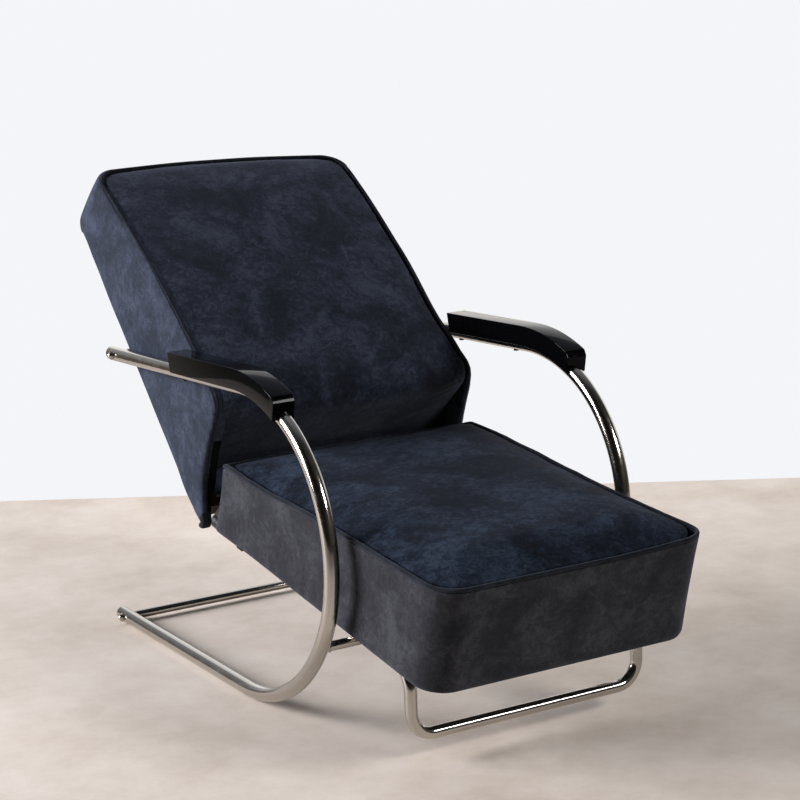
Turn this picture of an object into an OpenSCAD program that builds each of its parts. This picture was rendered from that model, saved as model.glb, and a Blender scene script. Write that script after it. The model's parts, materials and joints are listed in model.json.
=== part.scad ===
// Adjustable cantilever lounge chair of bent steel tube.
// Two C-shaped side tubes and three cross tubes stand on the floor. The upholstered back turns
// on the rear cross tube at arm height. The seat is hinged to the foot of the back and rides on
// the front cross tube on a bent tube sled, whose front end is a stirrup.
// Millimetres. X runs across the chair, the front looks along -Y, Z is up, the floor is zero.

/* [Side tubes] */
// Distance between the centre lines of the two side tubes
frame_span = 554; // [530:1:620]
// Outside diameter of the side tubes
tube_d = 25; // [22:0.5:28]
// Wall of the side tubes
tube_wall = 2; // [1.5:0.5:3]
// Straight length of each floor runner
runner_len = 492; // [440:1:560]
// Radius of the lower front bend
low_bend_r = 318; // [300:1:340]
// Radius of the upper front bend
high_bend_r = 235; // [220:1:250]
// Radius of the bend under the front of the arm pad
arm_bend_r = 290; // [260:1:320]
// Straight length of the arm tube
arm_len = 508; // [480:1:560]
// How far the arm tube falls towards its rear end, in degrees
arm_fall = 2.6; // [1:0.1:4]

/* [Cross tubes] */
// Outside diameter of the three cross tubes
cross_d = 16; // [14:0.5:18]
// Wall of the cross tubes
cross_wall = 1.5; // [1:0.5:2.5]
// Distance of the two rear cross tubes from the side tubes' ends
cross_setback = 25; // [22:1:32]
// Place of the front cross tube on the lower front bend, in degrees
front_tube_deg = 56; // [50:1:58]

/* [Arm pads] */
// Width of an arm pad
pad_w = 39; // [34:1:50]
// Height of an arm pad over the centre of its tube
pad_h = 35; // [28:1:42]
// Distance of the arm pad's rear end from the end of its straight tube
pad_rear_gap = 283; // [260:1:320]
// How far the pad follows the bend at its front, in degrees
pad_front_deg = 28; // [22:1:32]

/* [Back] */
// Tilt of the rear panel over the floor, in degrees
back_tilt = 46.6; // [44:0.1:50]
// Length of the side panels along the rear panel
back_len = 662; // [600:1:720]
// Thickness of the back at its top
back_top_t = 116; // [100:1:135]
// Thickness of the back at the small of the back
back_low_t = 216; // [190:1:235]
// Height of the lower face of the back over the foot of its posts' frame
back_low_u = 105; // [98:1:112]
// Height of the rear cross tube over the foot of the posts' frame, along the rear panel
clip_u = 365; // [340:1:390]
// Gap between the back and the side tubes
back_side_gap = 8.5; // [5:0.5:12]
// Thickness of the padded side and top panels
back_border_t = 6.5; // [6:0.5:8]
// Radius of the two top corners of the back
back_corner_r = 48; // [35:1:60]
// Rise of the back cushion over its piping
back_crown = 18; // [10:1:24]

/* [Seat] */
// Tilt of the seat's underside over the floor, in degrees
seat_tilt = 8.5; // [7.5:0.1:9.5]
// Reach of the underside in front of the front cross tube
seat_front_len = 265; // [240:1:285]
// Distance of the underside's rear end from the rod that joins seat and back, along the seat
seat_rear_gap = 49; // [44:1:80]
// Height of the seat's padded wall at the front
seat_front_h = 183; // [165:1:200]
// Height of the seat's padded wall at the rear
seat_rear_h = 130; // [115:1:135]
// Radius of the seat's two front corners
seat_corner_r = 66; // [50:1:80]
// Rise of the seat cushion over its piping
seat_crown = 22; // [12:1:24]
// Diameter of the piping on seat and back
piping_d = 9; // [7:0.5:10]

/* [Sled and stirrup] */
// Outside diameter of the sled tube
sled_d = 20; // [18:0.5:22]
// Wall of the sled tube
sled_wall = 1.5; // [1:0.5:2.5]
// Distance of each rail of the sled from the centre line of the side tube beside it
sled_inset = 64; // [57:1:77]
// Reach of the stirrup in front of the front cross tube, along the seat
stirrup_len = 159; // [150:1:175]
// Drop of the stirrup's bar under the rails, along its legs
stirrup_drop = 106; // [98:1:108]
// Radius of the bends in the sled
sled_bend_r = 40; // [34:1:42]
// Diameter of the rod that joins seat and back
rod_d = 10; // [8:0.5:12]

/* [Hidden] */

// Smoothness of true round surfaces
$fn = 96;
// Overrun of every cut
cut = 1;
// Clearance between pieces that are fixed to each other
fit = 0.2;
// Clearance between pieces that move on each other
run = 0.3;
// Radial clearance of a shaft in its eye
shaft_play = 0.05;

// Colours
chrome = "#b9b8b4";
lacquer = "#0b0b0d";
suede = "#2c3340";
suede_dark = "#20252f";
beech = "#c49a6a";
jute = "#a8875a";
steel = "#7d7f82";
cloth = "#1c1d20";

// Side tube: places in the plane of the tube, as [y, z]
tube_r = tube_d / 2;
cross_r = cross_d / 2;
// Start of the lower front bend, which puts the middle of the depth at y = 0
bend_start_y = -27.61;
// Angles, from the floor, at which one bend runs into the next
low_bend_deg = 60;
high_bend_deg = 155;
arm_deg = 180 + arm_fall;
function on_circle(c, r, a) = [c[0] - r * sin(a), c[1] - r * cos(a)];
function next_centre(p, r, a) = [p[0] + r * sin(a), p[1] + r * cos(a)];
low_c = [bend_start_y, tube_r + low_bend_r];
low_end = on_circle(low_c, low_bend_r, low_bend_deg);
high_c = next_centre(low_end, high_bend_r, low_bend_deg);
high_end = on_circle(high_c, high_bend_r, high_bend_deg);
arm_c = next_centre(high_end, arm_bend_r, high_bend_deg);
arm_start = on_circle(arm_c, arm_bend_r, arm_deg);
arm_dir = [-cos(arm_deg), sin(arm_deg)];
arm_end = arm_start + arm_len * arm_dir;
runner_end = [bend_start_y + runner_len, tube_r];

// Axes of the cross tubes, as [y, z]
top_tube = arm_end - cross_setback * arm_dir;
floor_tube = [runner_end[0] - cross_setback, tube_r];
front_tube = on_circle(low_c, low_bend_r, front_tube_deg);
frame_half = frame_span / 2;

// Bolts that hold the cross tubes
bolt_d = 6;
bolt_head_r = 6.5;
bolt_insert_len = 22;
washer_r = 8;
washer_t = 1.5;
plug_dome_h = 3;
plug_len = 14;

// Arm pad details
pad_gap = 3.5;
pad_end_lean = 10;
pad_screw_d = 5;
pad_screw_head_r = 4.5;
pad_screw_head_h = 2;
pad_screw_bite = 16;
// Places of the two screws along the straight arm tube, as shares of its covered part
pad_screw_shares = [0.16, 0.94];

// Back: its own frame has u up along the rear panel and v out of it, from the posts' foot
back_half = frame_half - tube_r - back_side_gap;
back_in = back_half - back_border_t;
// Inner faces of the arm pads, clear of the back as it turns between them
pad_in = back_half + pad_gap;
strap_t = 2;
panel_gap = cross_r + shaft_play + strap_t + fit;
rod_u = 27;
rod_v = 22;
rod_r = rod_d / 2;
panel_t = 8;
panel_low_u = 46;
foot_panel_t = 6;
post_w = 22;
post_t = 30;
rail_w = 34;
ridge_r = 26;
top_rear_r = 26;
tip_r = 9;
// Reach of the side panels' tips below the start of u
tip_u = -14;
front_bulge = 14;
back_pad_t = 34;
turned = [cos(back_tilt), sin(back_tilt)];
rod_pos = [top_tube[0] + (rod_u - clip_u) * turned[0] - (rod_v + panel_gap) * turned[1],
           top_tube[1] + (rod_u - clip_u) * turned[1] + (rod_v + panel_gap) * turned[0]];

// Seat: its own frame has y along the underside and z out of it, from the front cross tube
sled_r = sled_d / 2;
rail_n = cross_r + run + sled_r;
seat_n = rail_n + sled_r + fit;
seat_side_gap = 1;
piping_r = piping_d / 2;
piping_proud = 1.5;
seat_border_t = 6;
seat_half = back_in - seat_side_gap - piping_proud;
seat_in = seat_half - seat_border_t - fit;
seat_front_lean = 19;
seat_rear_lean = 22;
seat_rear_r = 16;
// Least radius of the upright corners of the boards inside
well_r = 3;
seat_draw = 3;
seat_pad_t = 38;
base_cloth_t = 1.5;
web_t = 2;
web_w = 50;
board_t = 20;
slat_w = 60;
slat_t = 18;
// Place of the middle slat behind the front cross tube
slat_y = 40;
// The rod that joins seat and back, seen in the seat's frame
rod_from_front = rod_pos - front_tube;
rod_s = rod_from_front[0] * cos(seat_tilt) + rod_from_front[1] * sin(seat_tilt);
seat_rear_len = rod_s - seat_rear_gap;
rod_n = -rod_from_front[0] * sin(seat_tilt) + rod_from_front[1] * cos(seat_tilt);
eye_t = 12;
eye_wall = 7;
collar_wall = 3;
collar_len = 24;
saddle_w = 18;
saddle_ear = 20;
saddle_t = 2;
small_screw_d = 4;
small_screw_head_r = 4;
small_screw_head_h = 1.6;
small_screw_len = 14;

// Springs
wire_r = 1.8;
spring_r = 30;
spring_waist_share = 0.28;
spring_turns = 4;
spring_steps = 9;
spring_sides = 5;
seat_spring_shares = [0.17, 0.5, 0.83];
back_spring_shares = [0.24, 0.52, 0.8];
spring_x = 120;
// Drop of the back springs' tops under the curve of the cushion
spring_drop = 1.6;

// Outlines and lofts
corner_steps = 6;
side_steps = 5;
pipe_sides = 6;
// Rings of a crowned cushion, as shares of its outline
crown_shares = [0.985, 0.95, 0.88, 0.76, 0.58, 0.36, 0.16];
// Rings of its underside
under_shares = [0.16, 0.4, 0.64, 0.86];

// Quarter circle of an outline; each point carries its outward direction
function corner(cx, cy, r, a0) =
    [for (i = [0:corner_steps]) let (a = a0 + 90 * i / corner_steps)
        [cx + r * cos(a), cy + r * sin(a), cos(a), sin(a)]];
// Straight side of an outline between two corners
function side(p, q, out, n) =
    [for (i = [1:n - 1]) let (t = i / n)
        [p[0] + (q[0] - p[0]) * t, p[1] + (q[1] - p[1]) * t, out[0], out[1]]];
// Closed outline with rounded corners: rf at its low end y0, rb at its high end y1
function outline(w, y0, y1, rf, rb) = concat(
    corner(w - rb, y1 - rb, rb, 0),
    side([w - rb, y1], [rb - w, y1], [0, 1], side_steps),
    corner(rb - w, y1 - rb, rb, 90),
    side([-w, y1 - rb], [-w, y0 + rf], [-1, 0], side_steps),
    corner(rf - w, y0 + rf, rf, 180),
    side([rf - w, y0], [w - rf, y0], [0, -1], side_steps),
    corner(w - rf, y0 + rf, rf, 270),
    side([w, y0 + rf], [w, y1 - rb], [1, 0], side_steps));

function flat(rings) = [for (r = rings) each r];
// Faces between two rings of n points, seen clockwise from outside when j lies above i
function strip(n, i, j) =
    [for (k = [0:n - 1]) let (m = (k + 1) % n)
        each [[i * n + k, j * n + m, i * n + m], [i * n + k, j * n + k, j * n + m]]];
// Solid through stacked rings, closed by a fan at each end
module loft(rings) {
    n = len(rings[0]);
    last = len(rings) - 1;
    low = n * len(rings);
    function mid(r) = [for (c = [0:2]) [for (p = r) p[c]] * [for (p = r) 1] / n];
    polyhedron(
        points = concat(flat(rings), [mid(rings[0]), mid(rings[last])]),
        faces = concat(
            [for (k = [0:n - 1]) [low, k, (k + 1) % n]],
            [for (i = [0:last - 1]) each strip(n, i, i + 1)],
            [for (k = [0:n - 1]) [low + 1, last * n + (k + 1) % n, last * n + k]]));
}
// Solid ring through rings that close on the first again
module ring_loft(rings) {
    n = len(rings[0]);
    count = len(rings);
    polyhedron(points = flat(rings),
               faces = [for (i = [0:count - 1]) each strip(n, i, (i + 1) % count)]);
}
function unit(v) = v / norm(v);
// Ring of a round section at p, square to the path, with one axis along out
function section(p, t, out, r, sides) =
    let (e = unit(cross(t, out)))
    [for (k = [0:sides - 1]) let (a = 360 * k / sides) p + r * (cos(a) * unit(out) + sin(a) * e)];
// Section rings along a path: pts are places, outs their outward directions
function sections(pts, outs, r, sides, closed) =
    let (n = len(pts))
    [for (i = [0:n - 1])
        let (a = closed ? pts[(i + n - 1) % n] : pts[max(i - 1, 0)],
             b = closed ? pts[(i + 1) % n] : pts[min(i + 1, n - 1)])
        section(pts[i], b - a, outs[i], r, sides)];

// Round section of radius r, hollow where the wall w is not zero
module round_section(r, w) {
    difference() {
        circle(r = r);
        if (w > 0)
            circle(r = r - w);
    }
}
// Straight length between two points
module bar(a, b, r, w) {
    d = b - a;
    l = norm(d);
    translate(a)
        rotate([0, acos(d[2] / l), atan2(d[1], d[0])])
            linear_extrude(l)
                round_section(r, w);
}
// Round bend in the plane of a side tube: centre c as [y, z], from angle a to b off the floor
module bend(c, r, a, b, section_r, w) {
    translate([0, c[0], c[1]])
        rotate([0, 90, 0])
            rotate([0, 0, -b])
                rotate_extrude(angle = b - a)
                    translate([r, 0])
                        round_section(section_r, w);
}

// The line of a side tube with radius r and wall w, longer by over at both ends.
// Every second length is a little thinner and runs a short way into its neighbours.
lap = 1;
lap_step = 0.1;
function thinner(w) = w > 0 ? w - 2 * lap_step : 0;
module side_runner(r, w, over) {
    bar([0, runner_end[0] + over, tube_r], [0, bend_start_y - lap, tube_r],
        r - lap_step, thinner(w));
}
module side_arm(r, w, over) {
    a = arm_start - lap * arm_dir;
    b = arm_end + over * arm_dir;
    bar([0, a[0], a[1]], [0, b[0], b[1]], r - lap_step, thinner(w));
}
module side_low_bend(r, w) {
    bend(low_c, low_bend_r, 0, low_bend_deg, r, w);
}
module side_line(r, w, over) {
    lap_deg = lap / high_bend_r * 180 / PI;
    side_runner(r, w, over);
    side_low_bend(r, w);
    bend(high_c, high_bend_r, low_bend_deg - lap_deg, high_bend_deg + lap_deg, r - lap_step,
         thinner(w));
    bend(arm_c, arm_bend_r, high_bend_deg, arm_deg, r, w);
    side_arm(r, w, over);
}
// Places of the pad screws on the centre line of the arm tube, as [y, z]
pad_rear = arm_end - pad_rear_gap * arm_dir;
function pad_screw_at(s) = arm_start + s * (pad_rear - arm_start);
// Axis of one pad screw: from under the tube up into the pad
module pad_screw_axis(s, r, from, to) {
    p = pad_screw_at(s);
    translate([0, p[0], p[1]])
        rotate([-arm_fall, 0, 0])
            translate([0, 0, from])
                cylinder(h = to - from, r = r);
}
module side_tube(x) {
    translate([x, 0, 0])
        difference() {
            side_line(tube_r, tube_wall, 0);
            for (p = [top_tube, floor_tube])
                translate([-tube_r - cut, p[0], p[1]])
                    rotate([0, 90, 0])
                        cylinder(h = tube_d + 2 * cut, d = bolt_d + 2 * fit);
            for (s = pad_screw_shares)
                pad_screw_axis(s, pad_screw_d / 2 + fit, -tube_r - cut, tube_r + cut);
        }
}
module side_tube_right() {
    color(chrome)
        side_tube(-frame_half);
}
module side_tube_left() {
    color(chrome)
        side_tube(frame_half);
}

// Domed plug for a tube end: its spigot points along -Y
module end_plug() {
    spigot_r = tube_r - tube_wall - fit;
    dome_r = (tube_r * tube_r + plug_dome_h * plug_dome_h) / (2 * plug_dome_h);
    rotate([-90, 0, 0]) {
        translate([0, 0, fit])
            intersection() {
                cylinder(h = plug_dome_h, r = tube_r);
                translate([0, 0, plug_dome_h - dome_r])
                    sphere(r = dome_r);
            }
        translate([0, 0, -plug_len])
            cylinder(h = plug_len + 2 * fit, r = spigot_r);
    }
}
module tube_end_plugs() {
    color(chrome)
        for (x = [-frame_half, frame_half]) {
            translate([x, runner_end[0], runner_end[1]])
                end_plug();
            translate([x, arm_end[0], arm_end[1]])
                rotate([-arm_fall, 0, 0])
                    end_plug();
        }
}

// Cross tube between the side tubes, with a tapped insert in each end
module cross_tube(p, insert) {
    difference() {
        translate([-frame_half, p[0], p[1]])
            rotate([0, 90, 0])
                difference() {
                    cylinder(h = frame_span, r = cross_r);
                    translate([0, 0, tube_r + insert])
                        cylinder(h = frame_span - tube_d - 2 * insert, r = cross_r - cross_wall);
                    translate([0, 0, -cut])
                        cylinder(h = tube_r + insert + 2 * cut, d = bolt_d + 2 * fit);
                    translate([0, 0, frame_span - tube_r - insert - cut])
                        cylinder(h = tube_r + insert + 2 * cut, d = bolt_d + 2 * fit);
                }
        for (x = [-frame_half, frame_half])
            translate([x, 0, 0])
                children();
    }
}
module top_rear_tube() {
    color(chrome)
        cross_tube(top_tube, bolt_insert_len)
            side_arm(tube_r + fit, 0, cut);
}
module rear_floor_tube() {
    color(chrome)
        cross_tube(floor_tube, bolt_insert_len)
            side_runner(tube_r + fit, 0, cut);
}
// The front tube is welded to the side tubes, with a small bead at each end
module front_seat_tube() {
    bead_r = 1.4;
    color(chrome) {
        difference() {
            translate([-frame_half, front_tube[0], front_tube[1]])
                rotate([0, 90, 0])
                    difference() {
                        cylinder(h = frame_span, r = cross_r);
                        translate([0, 0, tube_r + cross_wall])
                            cylinder(h = frame_span - tube_d - 2 * cross_wall,
                                     r = cross_r - cross_wall);
                    }
            for (x = [-frame_half, frame_half])
                translate([x, 0, 0])
                    side_low_bend(tube_r + fit / 2, 0);
        }
        for (x = [-1, 1])
            translate([x * (frame_half - tube_r - bead_r - fit), front_tube[0], front_tube[1]])
                rotate([0, 90, 0])
                    rotate_extrude()
                        translate([cross_r, 0])
                            circle(r = bead_r);
    }
}

// Dome-head bolts on the outer faces of the side tubes
module tube_bolts() {
    head_x = frame_half + tube_r + fit + washer_t + fit;
    inner_x = frame_half - bolt_insert_len + cut;
    color(chrome)
        for (m = [0, 1], p = [top_tube, floor_tube])
            mirror([m, 0, 0])
                translate([-head_x, p[0], p[1]]) {
                    rotate([0, 90, 0])
                        cylinder(h = head_x - inner_x, d = bolt_d);
                    intersection() {
                        sphere(r = bolt_head_r);
                        translate([-bolt_head_r, -bolt_head_r, -bolt_head_r])
                            cube([bolt_head_r, 2 * bolt_head_r, 2 * bolt_head_r]);
                    }
                }
}
module bolt_washers() {
    x = frame_half + tube_r + fit;
    color(chrome)
        for (m = [0, 1], p = [top_tube, floor_tube])
            mirror([m, 0, 0])
                translate([-x - washer_t, p[0], p[1]])
                    rotate([0, 90, 0])
                        difference() {
                            cylinder(h = washer_t, r = washer_r);
                            translate([0, 0, -cut])
                                cylinder(h = washer_t + 2 * cut, d = bolt_d + 2 * fit);
                        }
}

// Arm pad: seen from the side, from the tube's centre line up to its top
pad_steps = 20;
pad_front = on_circle(arm_c, arm_bend_r, arm_deg - pad_front_deg);
function pad_arc(r) = [for (i = [0:pad_steps])
    on_circle(arm_c, r, arm_deg - (pad_front_deg + pad_end_lean) * i / pad_steps)];
module arm_pad(m) {
    up = [-arm_dir[1], arm_dir[0]];
    far = pad_rear + pad_w * arm_dir;
    low = pad_arc(arm_bend_r);
    high = pad_arc(arm_bend_r + pad_h);
    outline_points = concat([far], low, [for (i = [0:pad_steps]) high[pad_steps - i]],
                            [far + pad_h * up]);
    translate([m * frame_half, 0, 0])
        difference() {
            translate([m > 0 ? pad_in - frame_half : frame_half - pad_in - pad_w, 0, 0])
                rotate([90, 0, 90])
                    linear_extrude(pad_w)
                        polygon(outline_points);
            // Groove for the tube, a little wider along the straight length
            bend(arm_c, arm_bend_r, arm_deg - pad_front_deg - 2 * pad_end_lean, arm_deg,
                 tube_r + fit, 0);
            side_arm(tube_r + 2 * fit, 0, cut);
            // Both ends lean outward at the top
            translate([-pad_w, pad_rear[0], pad_rear[1]])
                rotate([-arm_fall - pad_end_lean, 0, 0])
                    translate([0, 0, -pad_h])
                        cube([2 * pad_w, 2 * pad_w, pad_h * 3]);
            translate([-pad_w, pad_front[0], pad_front[1]])
                rotate([pad_end_lean, 0, 0])
                    translate([0, -2 * pad_w, -pad_h])
                        cube([2 * pad_w, 2 * pad_w, pad_h * 3]);
            for (s = pad_screw_shares)
                pad_screw_axis(s, pad_screw_d / 2 + fit / 2, 0, tube_r + pad_screw_bite + fit);
        }
}
module arm_pad_right() {
    color(lacquer)
        arm_pad(-1);
}
module arm_pad_left() {
    color(lacquer)
        arm_pad(1);
}
// Oval-head screws that hold the pads from under the tubes
module arm_pad_screws() {
    color(steel)
        for (x = [-frame_half, frame_half], s = pad_screw_shares)
            translate([x, 0, 0]) {
                pad_screw_axis(s, pad_screw_d / 2, -tube_r - fit, tube_r + pad_screw_bite);
                pad_screw_axis(s, pad_screw_head_r, -tube_r - fit - pad_screw_head_h,
                               -tube_r - fit);
            }
}

// Places everything of the back: y is u, z is v
module back_place() {
    translate([0, top_tube[0], top_tube[1]])
        rotate([back_tilt, 0, 0])
            translate([0, -clip_u, panel_gap])
                children();
}
// Front edge of the back's side panel, as [u, v] from the ridge to the top
ridge_v = back_low_t - ridge_r;
ridge_u = back_low_u + ridge_r / 2;
front_drop = back_low_t - back_top_t;
function front_edge_v(u) =
    let (t = (u - ridge_u) / (back_len - ridge_u))
    back_low_t - front_drop * t + 4 * front_bulge * t * (1 - t);
ridge_arc = [for (i = [0:5]) let (a = 205 - 23 * i)
    [ridge_u + ridge_r * cos(a), ridge_v + ridge_r * sin(a)]];
front_shares = [0.05, 0.12, 0.22, 0.34, 0.46, 0.58, 0.7, 0.82, 0.92, 1];
front_edge = [for (t = front_shares) let (u = ridge_u + t * (back_len - ridge_u))
    [u, front_edge_v(u)]];
tip_arc = [for (i = [0:4]) let (a = 270 - 27 * i)
    [tip_u + tip_r + tip_r * cos(a), tip_r + tip_r * sin(a)]];
top_rear_arc = [for (i = [0:5]) let (a = -18 * i)
    [back_len - top_rear_r + top_rear_r * cos(a), top_rear_r + top_rear_r * sin(a)]];
// Line of the front edge from the tip over the ridge to the top
front_line = concat([tip_arc[len(tip_arc) - 1]], ridge_arc, front_edge);
// The same line, moved into the back by d
function drawn_in(line, d) =
    let (n = len(line))
    [for (i = [0:n - 1])
        let (t = unit(line[min(i + 1, n - 1)] - line[max(i - 1, 0)]))
        line[i] + d * [t[1], -t[0]]];
side_profile = concat(tip_arc, drawn_in(front_line, piping_r + fit), top_rear_arc);

// Solid of the side profile across the chair, from -w to w
module profile_prism(points, w) {
    translate([-w, 0, 0])
        rotate([90, 0, 90])
            linear_extrude(2 * w)
                polygon(points);
}
// Upside-down U of the side and top panels, seen square to the rear panel
function arch(w, top, r, foot) = concat(
    [[-w, foot]],
    [for (i = [0:8]) let (a = 180 - 11.25 * i) [r - w + r * cos(a), top - r + r * sin(a)]],
    [for (i = [0:8]) let (a = 90 - 11.25 * i) [w - r + r * cos(a), top - r + r * sin(a)]],
    [[w, foot]]);
module arch_prism(w, top, r, foot, z0, z1) {
    translate([0, 0, z0])
        linear_extrude(z1 - z0)
            polygon(arch(w, top, r, foot));
}
module back_border() {
    color(suede)
        back_place()
            intersection() {
                difference() {
                    arch_prism(back_half, back_len, back_corner_r, tip_u - cut, -cut,
                               back_low_t + cut);
                    arch_prism(back_in, back_len - back_border_t, back_corner_r - back_border_t,
                               tip_u - 2 * cut, -2 * cut, back_low_t + 2 * cut);
                    // Blind holes for the ends of the rod
                    translate([-back_in - cut, rod_u, rod_v])
                        rotate([0, 90, 0])
                            cylinder(h = 2 * back_in + 2 * cut, r = rod_r + fit);
                }
                profile_prism(side_profile, back_half + cut);
            }
}
// Rear panel of covered plywood between the side panels
module back_panel() {
    hole = small_screw_d / 2 + fit;
    color(suede_dark)
        back_place()
            difference() {
                arch_prism(back_in - fit, back_len - back_border_t - top_rear_r / 2,
                           back_corner_r - back_border_t, panel_low_u, 0, panel_t);
                clip_holes(hole, -cut, panel_t + cut);
            }
}
// Round cuts at the screws of the two hinge clips
clip_x = 150;
clip_w = 26;
clip_ear = 26;
module clip_holes(r, from, to) {
    for (x = [-clip_x, clip_x], u = [-1, 1])
        translate([x, clip_u + u * (cross_r + clip_ear / 2 + strap_t), from])
            cylinder(h = to - from, r = r);
}
// Covered board that closes the back's block underneath, over the pocket for the seat
module back_foot_panel() {
    w = back_in - fit;
    z0 = panel_t + post_t + 3 * fit;
    z1 = ridge_v - fit;
    color(suede_dark)
        back_place()
            translate([-w, back_low_u - foot_panel_t, z0])
                cube([2 * w, foot_panel_t - fit, z1 - z0]);
}
// Glued beech frame: two posts that hold the rod, and three rails
module back_frame() {
    z0 = panel_t + fit;
    inner = back_in - fit;
    top = back_len - back_border_t - fit;
    color(beech)
        back_place()
            difference() {
                intersection() {
                    union() {
                        for (m = [0, 1])
                            mirror([m, 0, 0])
                                translate([inner - post_w, tip_r, z0])
                                    cube([post_w, top - tip_r, post_t]);
                        for (u = [back_low_u + fit, clip_u - rail_w / 2 * 1.6,
                                  top - rail_w - top_rear_r / 2])
                            translate([-inner + post_w / 2, u, z0])
                                cube([2 * inner - post_w,
                                      u > back_low_u + fit && u < clip_u ? rail_w * 1.6 : rail_w,
                                      post_t]);
                    }
                    arch_prism(inner, top - top_rear_r / 2, back_corner_r - back_border_t - fit,
                               0, 0, back_low_t);
                    // Clear of the piping along the front line
                    profile_prism(side_profile, back_half);
                }
                translate([-back_half, rod_u, rod_v])
                    rotate([0, 90, 0])
                        cylinder(h = 2 * back_half, r = rod_r + fit);
                clip_holes(small_screw_d / 2 + fit, 0, panel_t + post_t / 2);
            }
}
// Jute straps over the frame, up and across
module back_webbing() {
    z0 = panel_t + fit + post_t + fit;
    top = back_len - back_border_t - top_rear_r;
    color(jute)
        back_place() {
            for (x = [-spring_x, 0, spring_x])
                translate([x - web_w / 2, back_low_u + 2 * fit, z0])
                    cube([web_w, top - back_low_u, web_t]);
            for (s = back_spring_shares)
                translate([-back_in + post_w / 2, spring_u(s) - web_w / 2, z0])
                    cube([2 * back_in - post_w, web_w, web_t]);
        }
}
function spring_u(s) = back_low_u + s * (back_len - back_low_u);
// One waisted coil spring standing on z = 0, h high over its wire
module spring(h) {
    n = spring_turns * spring_steps;
    pts = [for (i = [0:n]) let (t = i / n, a = 360 * spring_turns * t,
                                r = spring_r * (1 - spring_waist_share * sin(180 * t)))
        [r * cos(a), r * sin(a), wire_r + t * (h - 2 * wire_r)]];
    outs = [for (i = [0:n]) let (a = 360 * spring_turns * i / n) [cos(a), sin(a), 0]];
    loft(sections(pts, outs, wire_r, spring_sides, false));
}
module back_springs() {
    z0 = panel_t + post_t + web_t + 3 * fit;
    color(steel)
        back_place()
            for (x = [-spring_x, 0, spring_x], s = back_spring_shares)
                translate([x, spring_u(s), z0])
                    spring(front_edge_v(spring_u(s) + spring_r) - back_pad_t - z0 - spring_drop);
}
// Crowned cushion over an edge that runs at height v(u); its base lies pad_t lower
module back_cushion() {
    inset = back_border_t / 2 + piping_r + run;
    w = back_half - inset;
    u0 = back_low_u;
    u1 = back_len - inset;
    mid = (u0 + u1) / 2;
    base = outline(w, u0, u1, ridge_r / 2, back_corner_r - inset);
    function edge(u) = min(front_edge_v(max(u, ridge_u)), back_low_t) - 2 * fit
        - (u < ridge_u ? ridge_r / 2 * (ridge_u - u) / (ridge_u - u0) : 0);
    function shrunk(f) = [for (p = base) [p[0] * f, mid + (p[1] - mid) * f]];
    color(suede)
        back_place()
            loft(concat(
                [for (f = under_shares)
                    [for (p = shrunk(f)) [p[0], p[1], edge(p[1]) - back_pad_t]]],
                [[for (p = base) [p[0], p[1], edge(p[1]) - back_pad_t]]],
                [[for (p = base) [p[0], p[1], edge(p[1]) - fit]]],
                [for (f = crown_shares)
                    [for (p = shrunk(f)) [p[0], p[1],
                        edge(p[1]) + back_crown * sqrt(1 - pow(f, 4))]]]));
}
// Piping along the front edges of the side and top panels
module back_piping() {
    w = back_half - back_border_t / 2;
    r = back_corner_r - back_border_t / 2;
    top = back_len - back_border_t / 2;
    up = [for (p = front_line) if (p[0] < top - r) p];
    arc = [for (i = [0:6]) let (a = 180 - 15 * i) [r - w + r * cos(a), top - r + r * sin(a), a]];
    right = concat([for (p = up) [[-w, p[0], p[1]], [-1, 0, 0]]],
                   [for (q = arc) [[q[0], q[1], front_edge_v(q[1])], [cos(q[2]), sin(q[2]), 0]]]);
    n = len(right);
    path = concat(right,
                  [[[0, top, front_edge_v(top)], [0, 1, 0]]],
                  [for (i = [0:n - 1]) let (q = right[n - 1 - i])
                      [[-q[0][0], q[0][1], q[0][2]], [-q[1][0], q[1][1], 0]]]);
    color(suede_dark)
        back_place()
            loft(sections([for (q = path) q[0]], [for (q = path) q[1]], piping_r, pipe_sides,
                          false));
}
// Steel rod through the feet of the back's posts, on which the seat turns
module pivot_rod() {
    color(steel)
        back_place()
            translate([-back_in, rod_u, rod_v])
                rotate([0, 90, 0])
                    cylinder(h = 2 * back_in, r = rod_r);
}
// Two steel clips round the rear cross tube, screwed to the rear panel
module hinge_clips() {
    ear_z = -fit - strap_t;
    l = 2 * (cross_r + strap_t + clip_ear);
    color(steel)
        back_place()
            difference() {
                for (x = [-clip_x, clip_x])
                    translate([x - clip_w / 2, clip_u, -panel_gap]) {
                        rotate([0, 90, 0])
                            cylinder(h = clip_w, r = cross_r + shaft_play + strap_t);
                        translate([0, -l / 2, panel_gap + ear_z])
                            cube([clip_w, l, strap_t]);
                    }
                translate([-back_half, clip_u, -panel_gap])
                    rotate([0, 90, 0])
                        cylinder(h = 2 * back_half, r = cross_r + shaft_play);
                clip_holes(small_screw_d / 2 + fit, -panel_gap, panel_t);
            }
}
module hinge_clip_screws() {
    under = -2 * fit - strap_t;
    color(steel)
        back_place() {
            clip_holes(small_screw_d / 2, under, under + strap_t + panel_t + small_screw_len);
            clip_holes(small_screw_head_r, under - small_screw_head_h, under);
        }
}

// Places everything of the seat: y runs along the underside, z out of it
module seat_place() {
    translate([0, front_tube[0], front_tube[1]])
        rotate([seat_tilt, 0, 0])
            children();
}
// Height of the padded wall at s along the seat
function seat_h(s) =
    seat_front_h + (seat_rear_h - seat_front_h) * (s + seat_front_len)
        / (seat_front_len + seat_rear_len);
function edge_n(s) = seat_n + seat_h(s);
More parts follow.
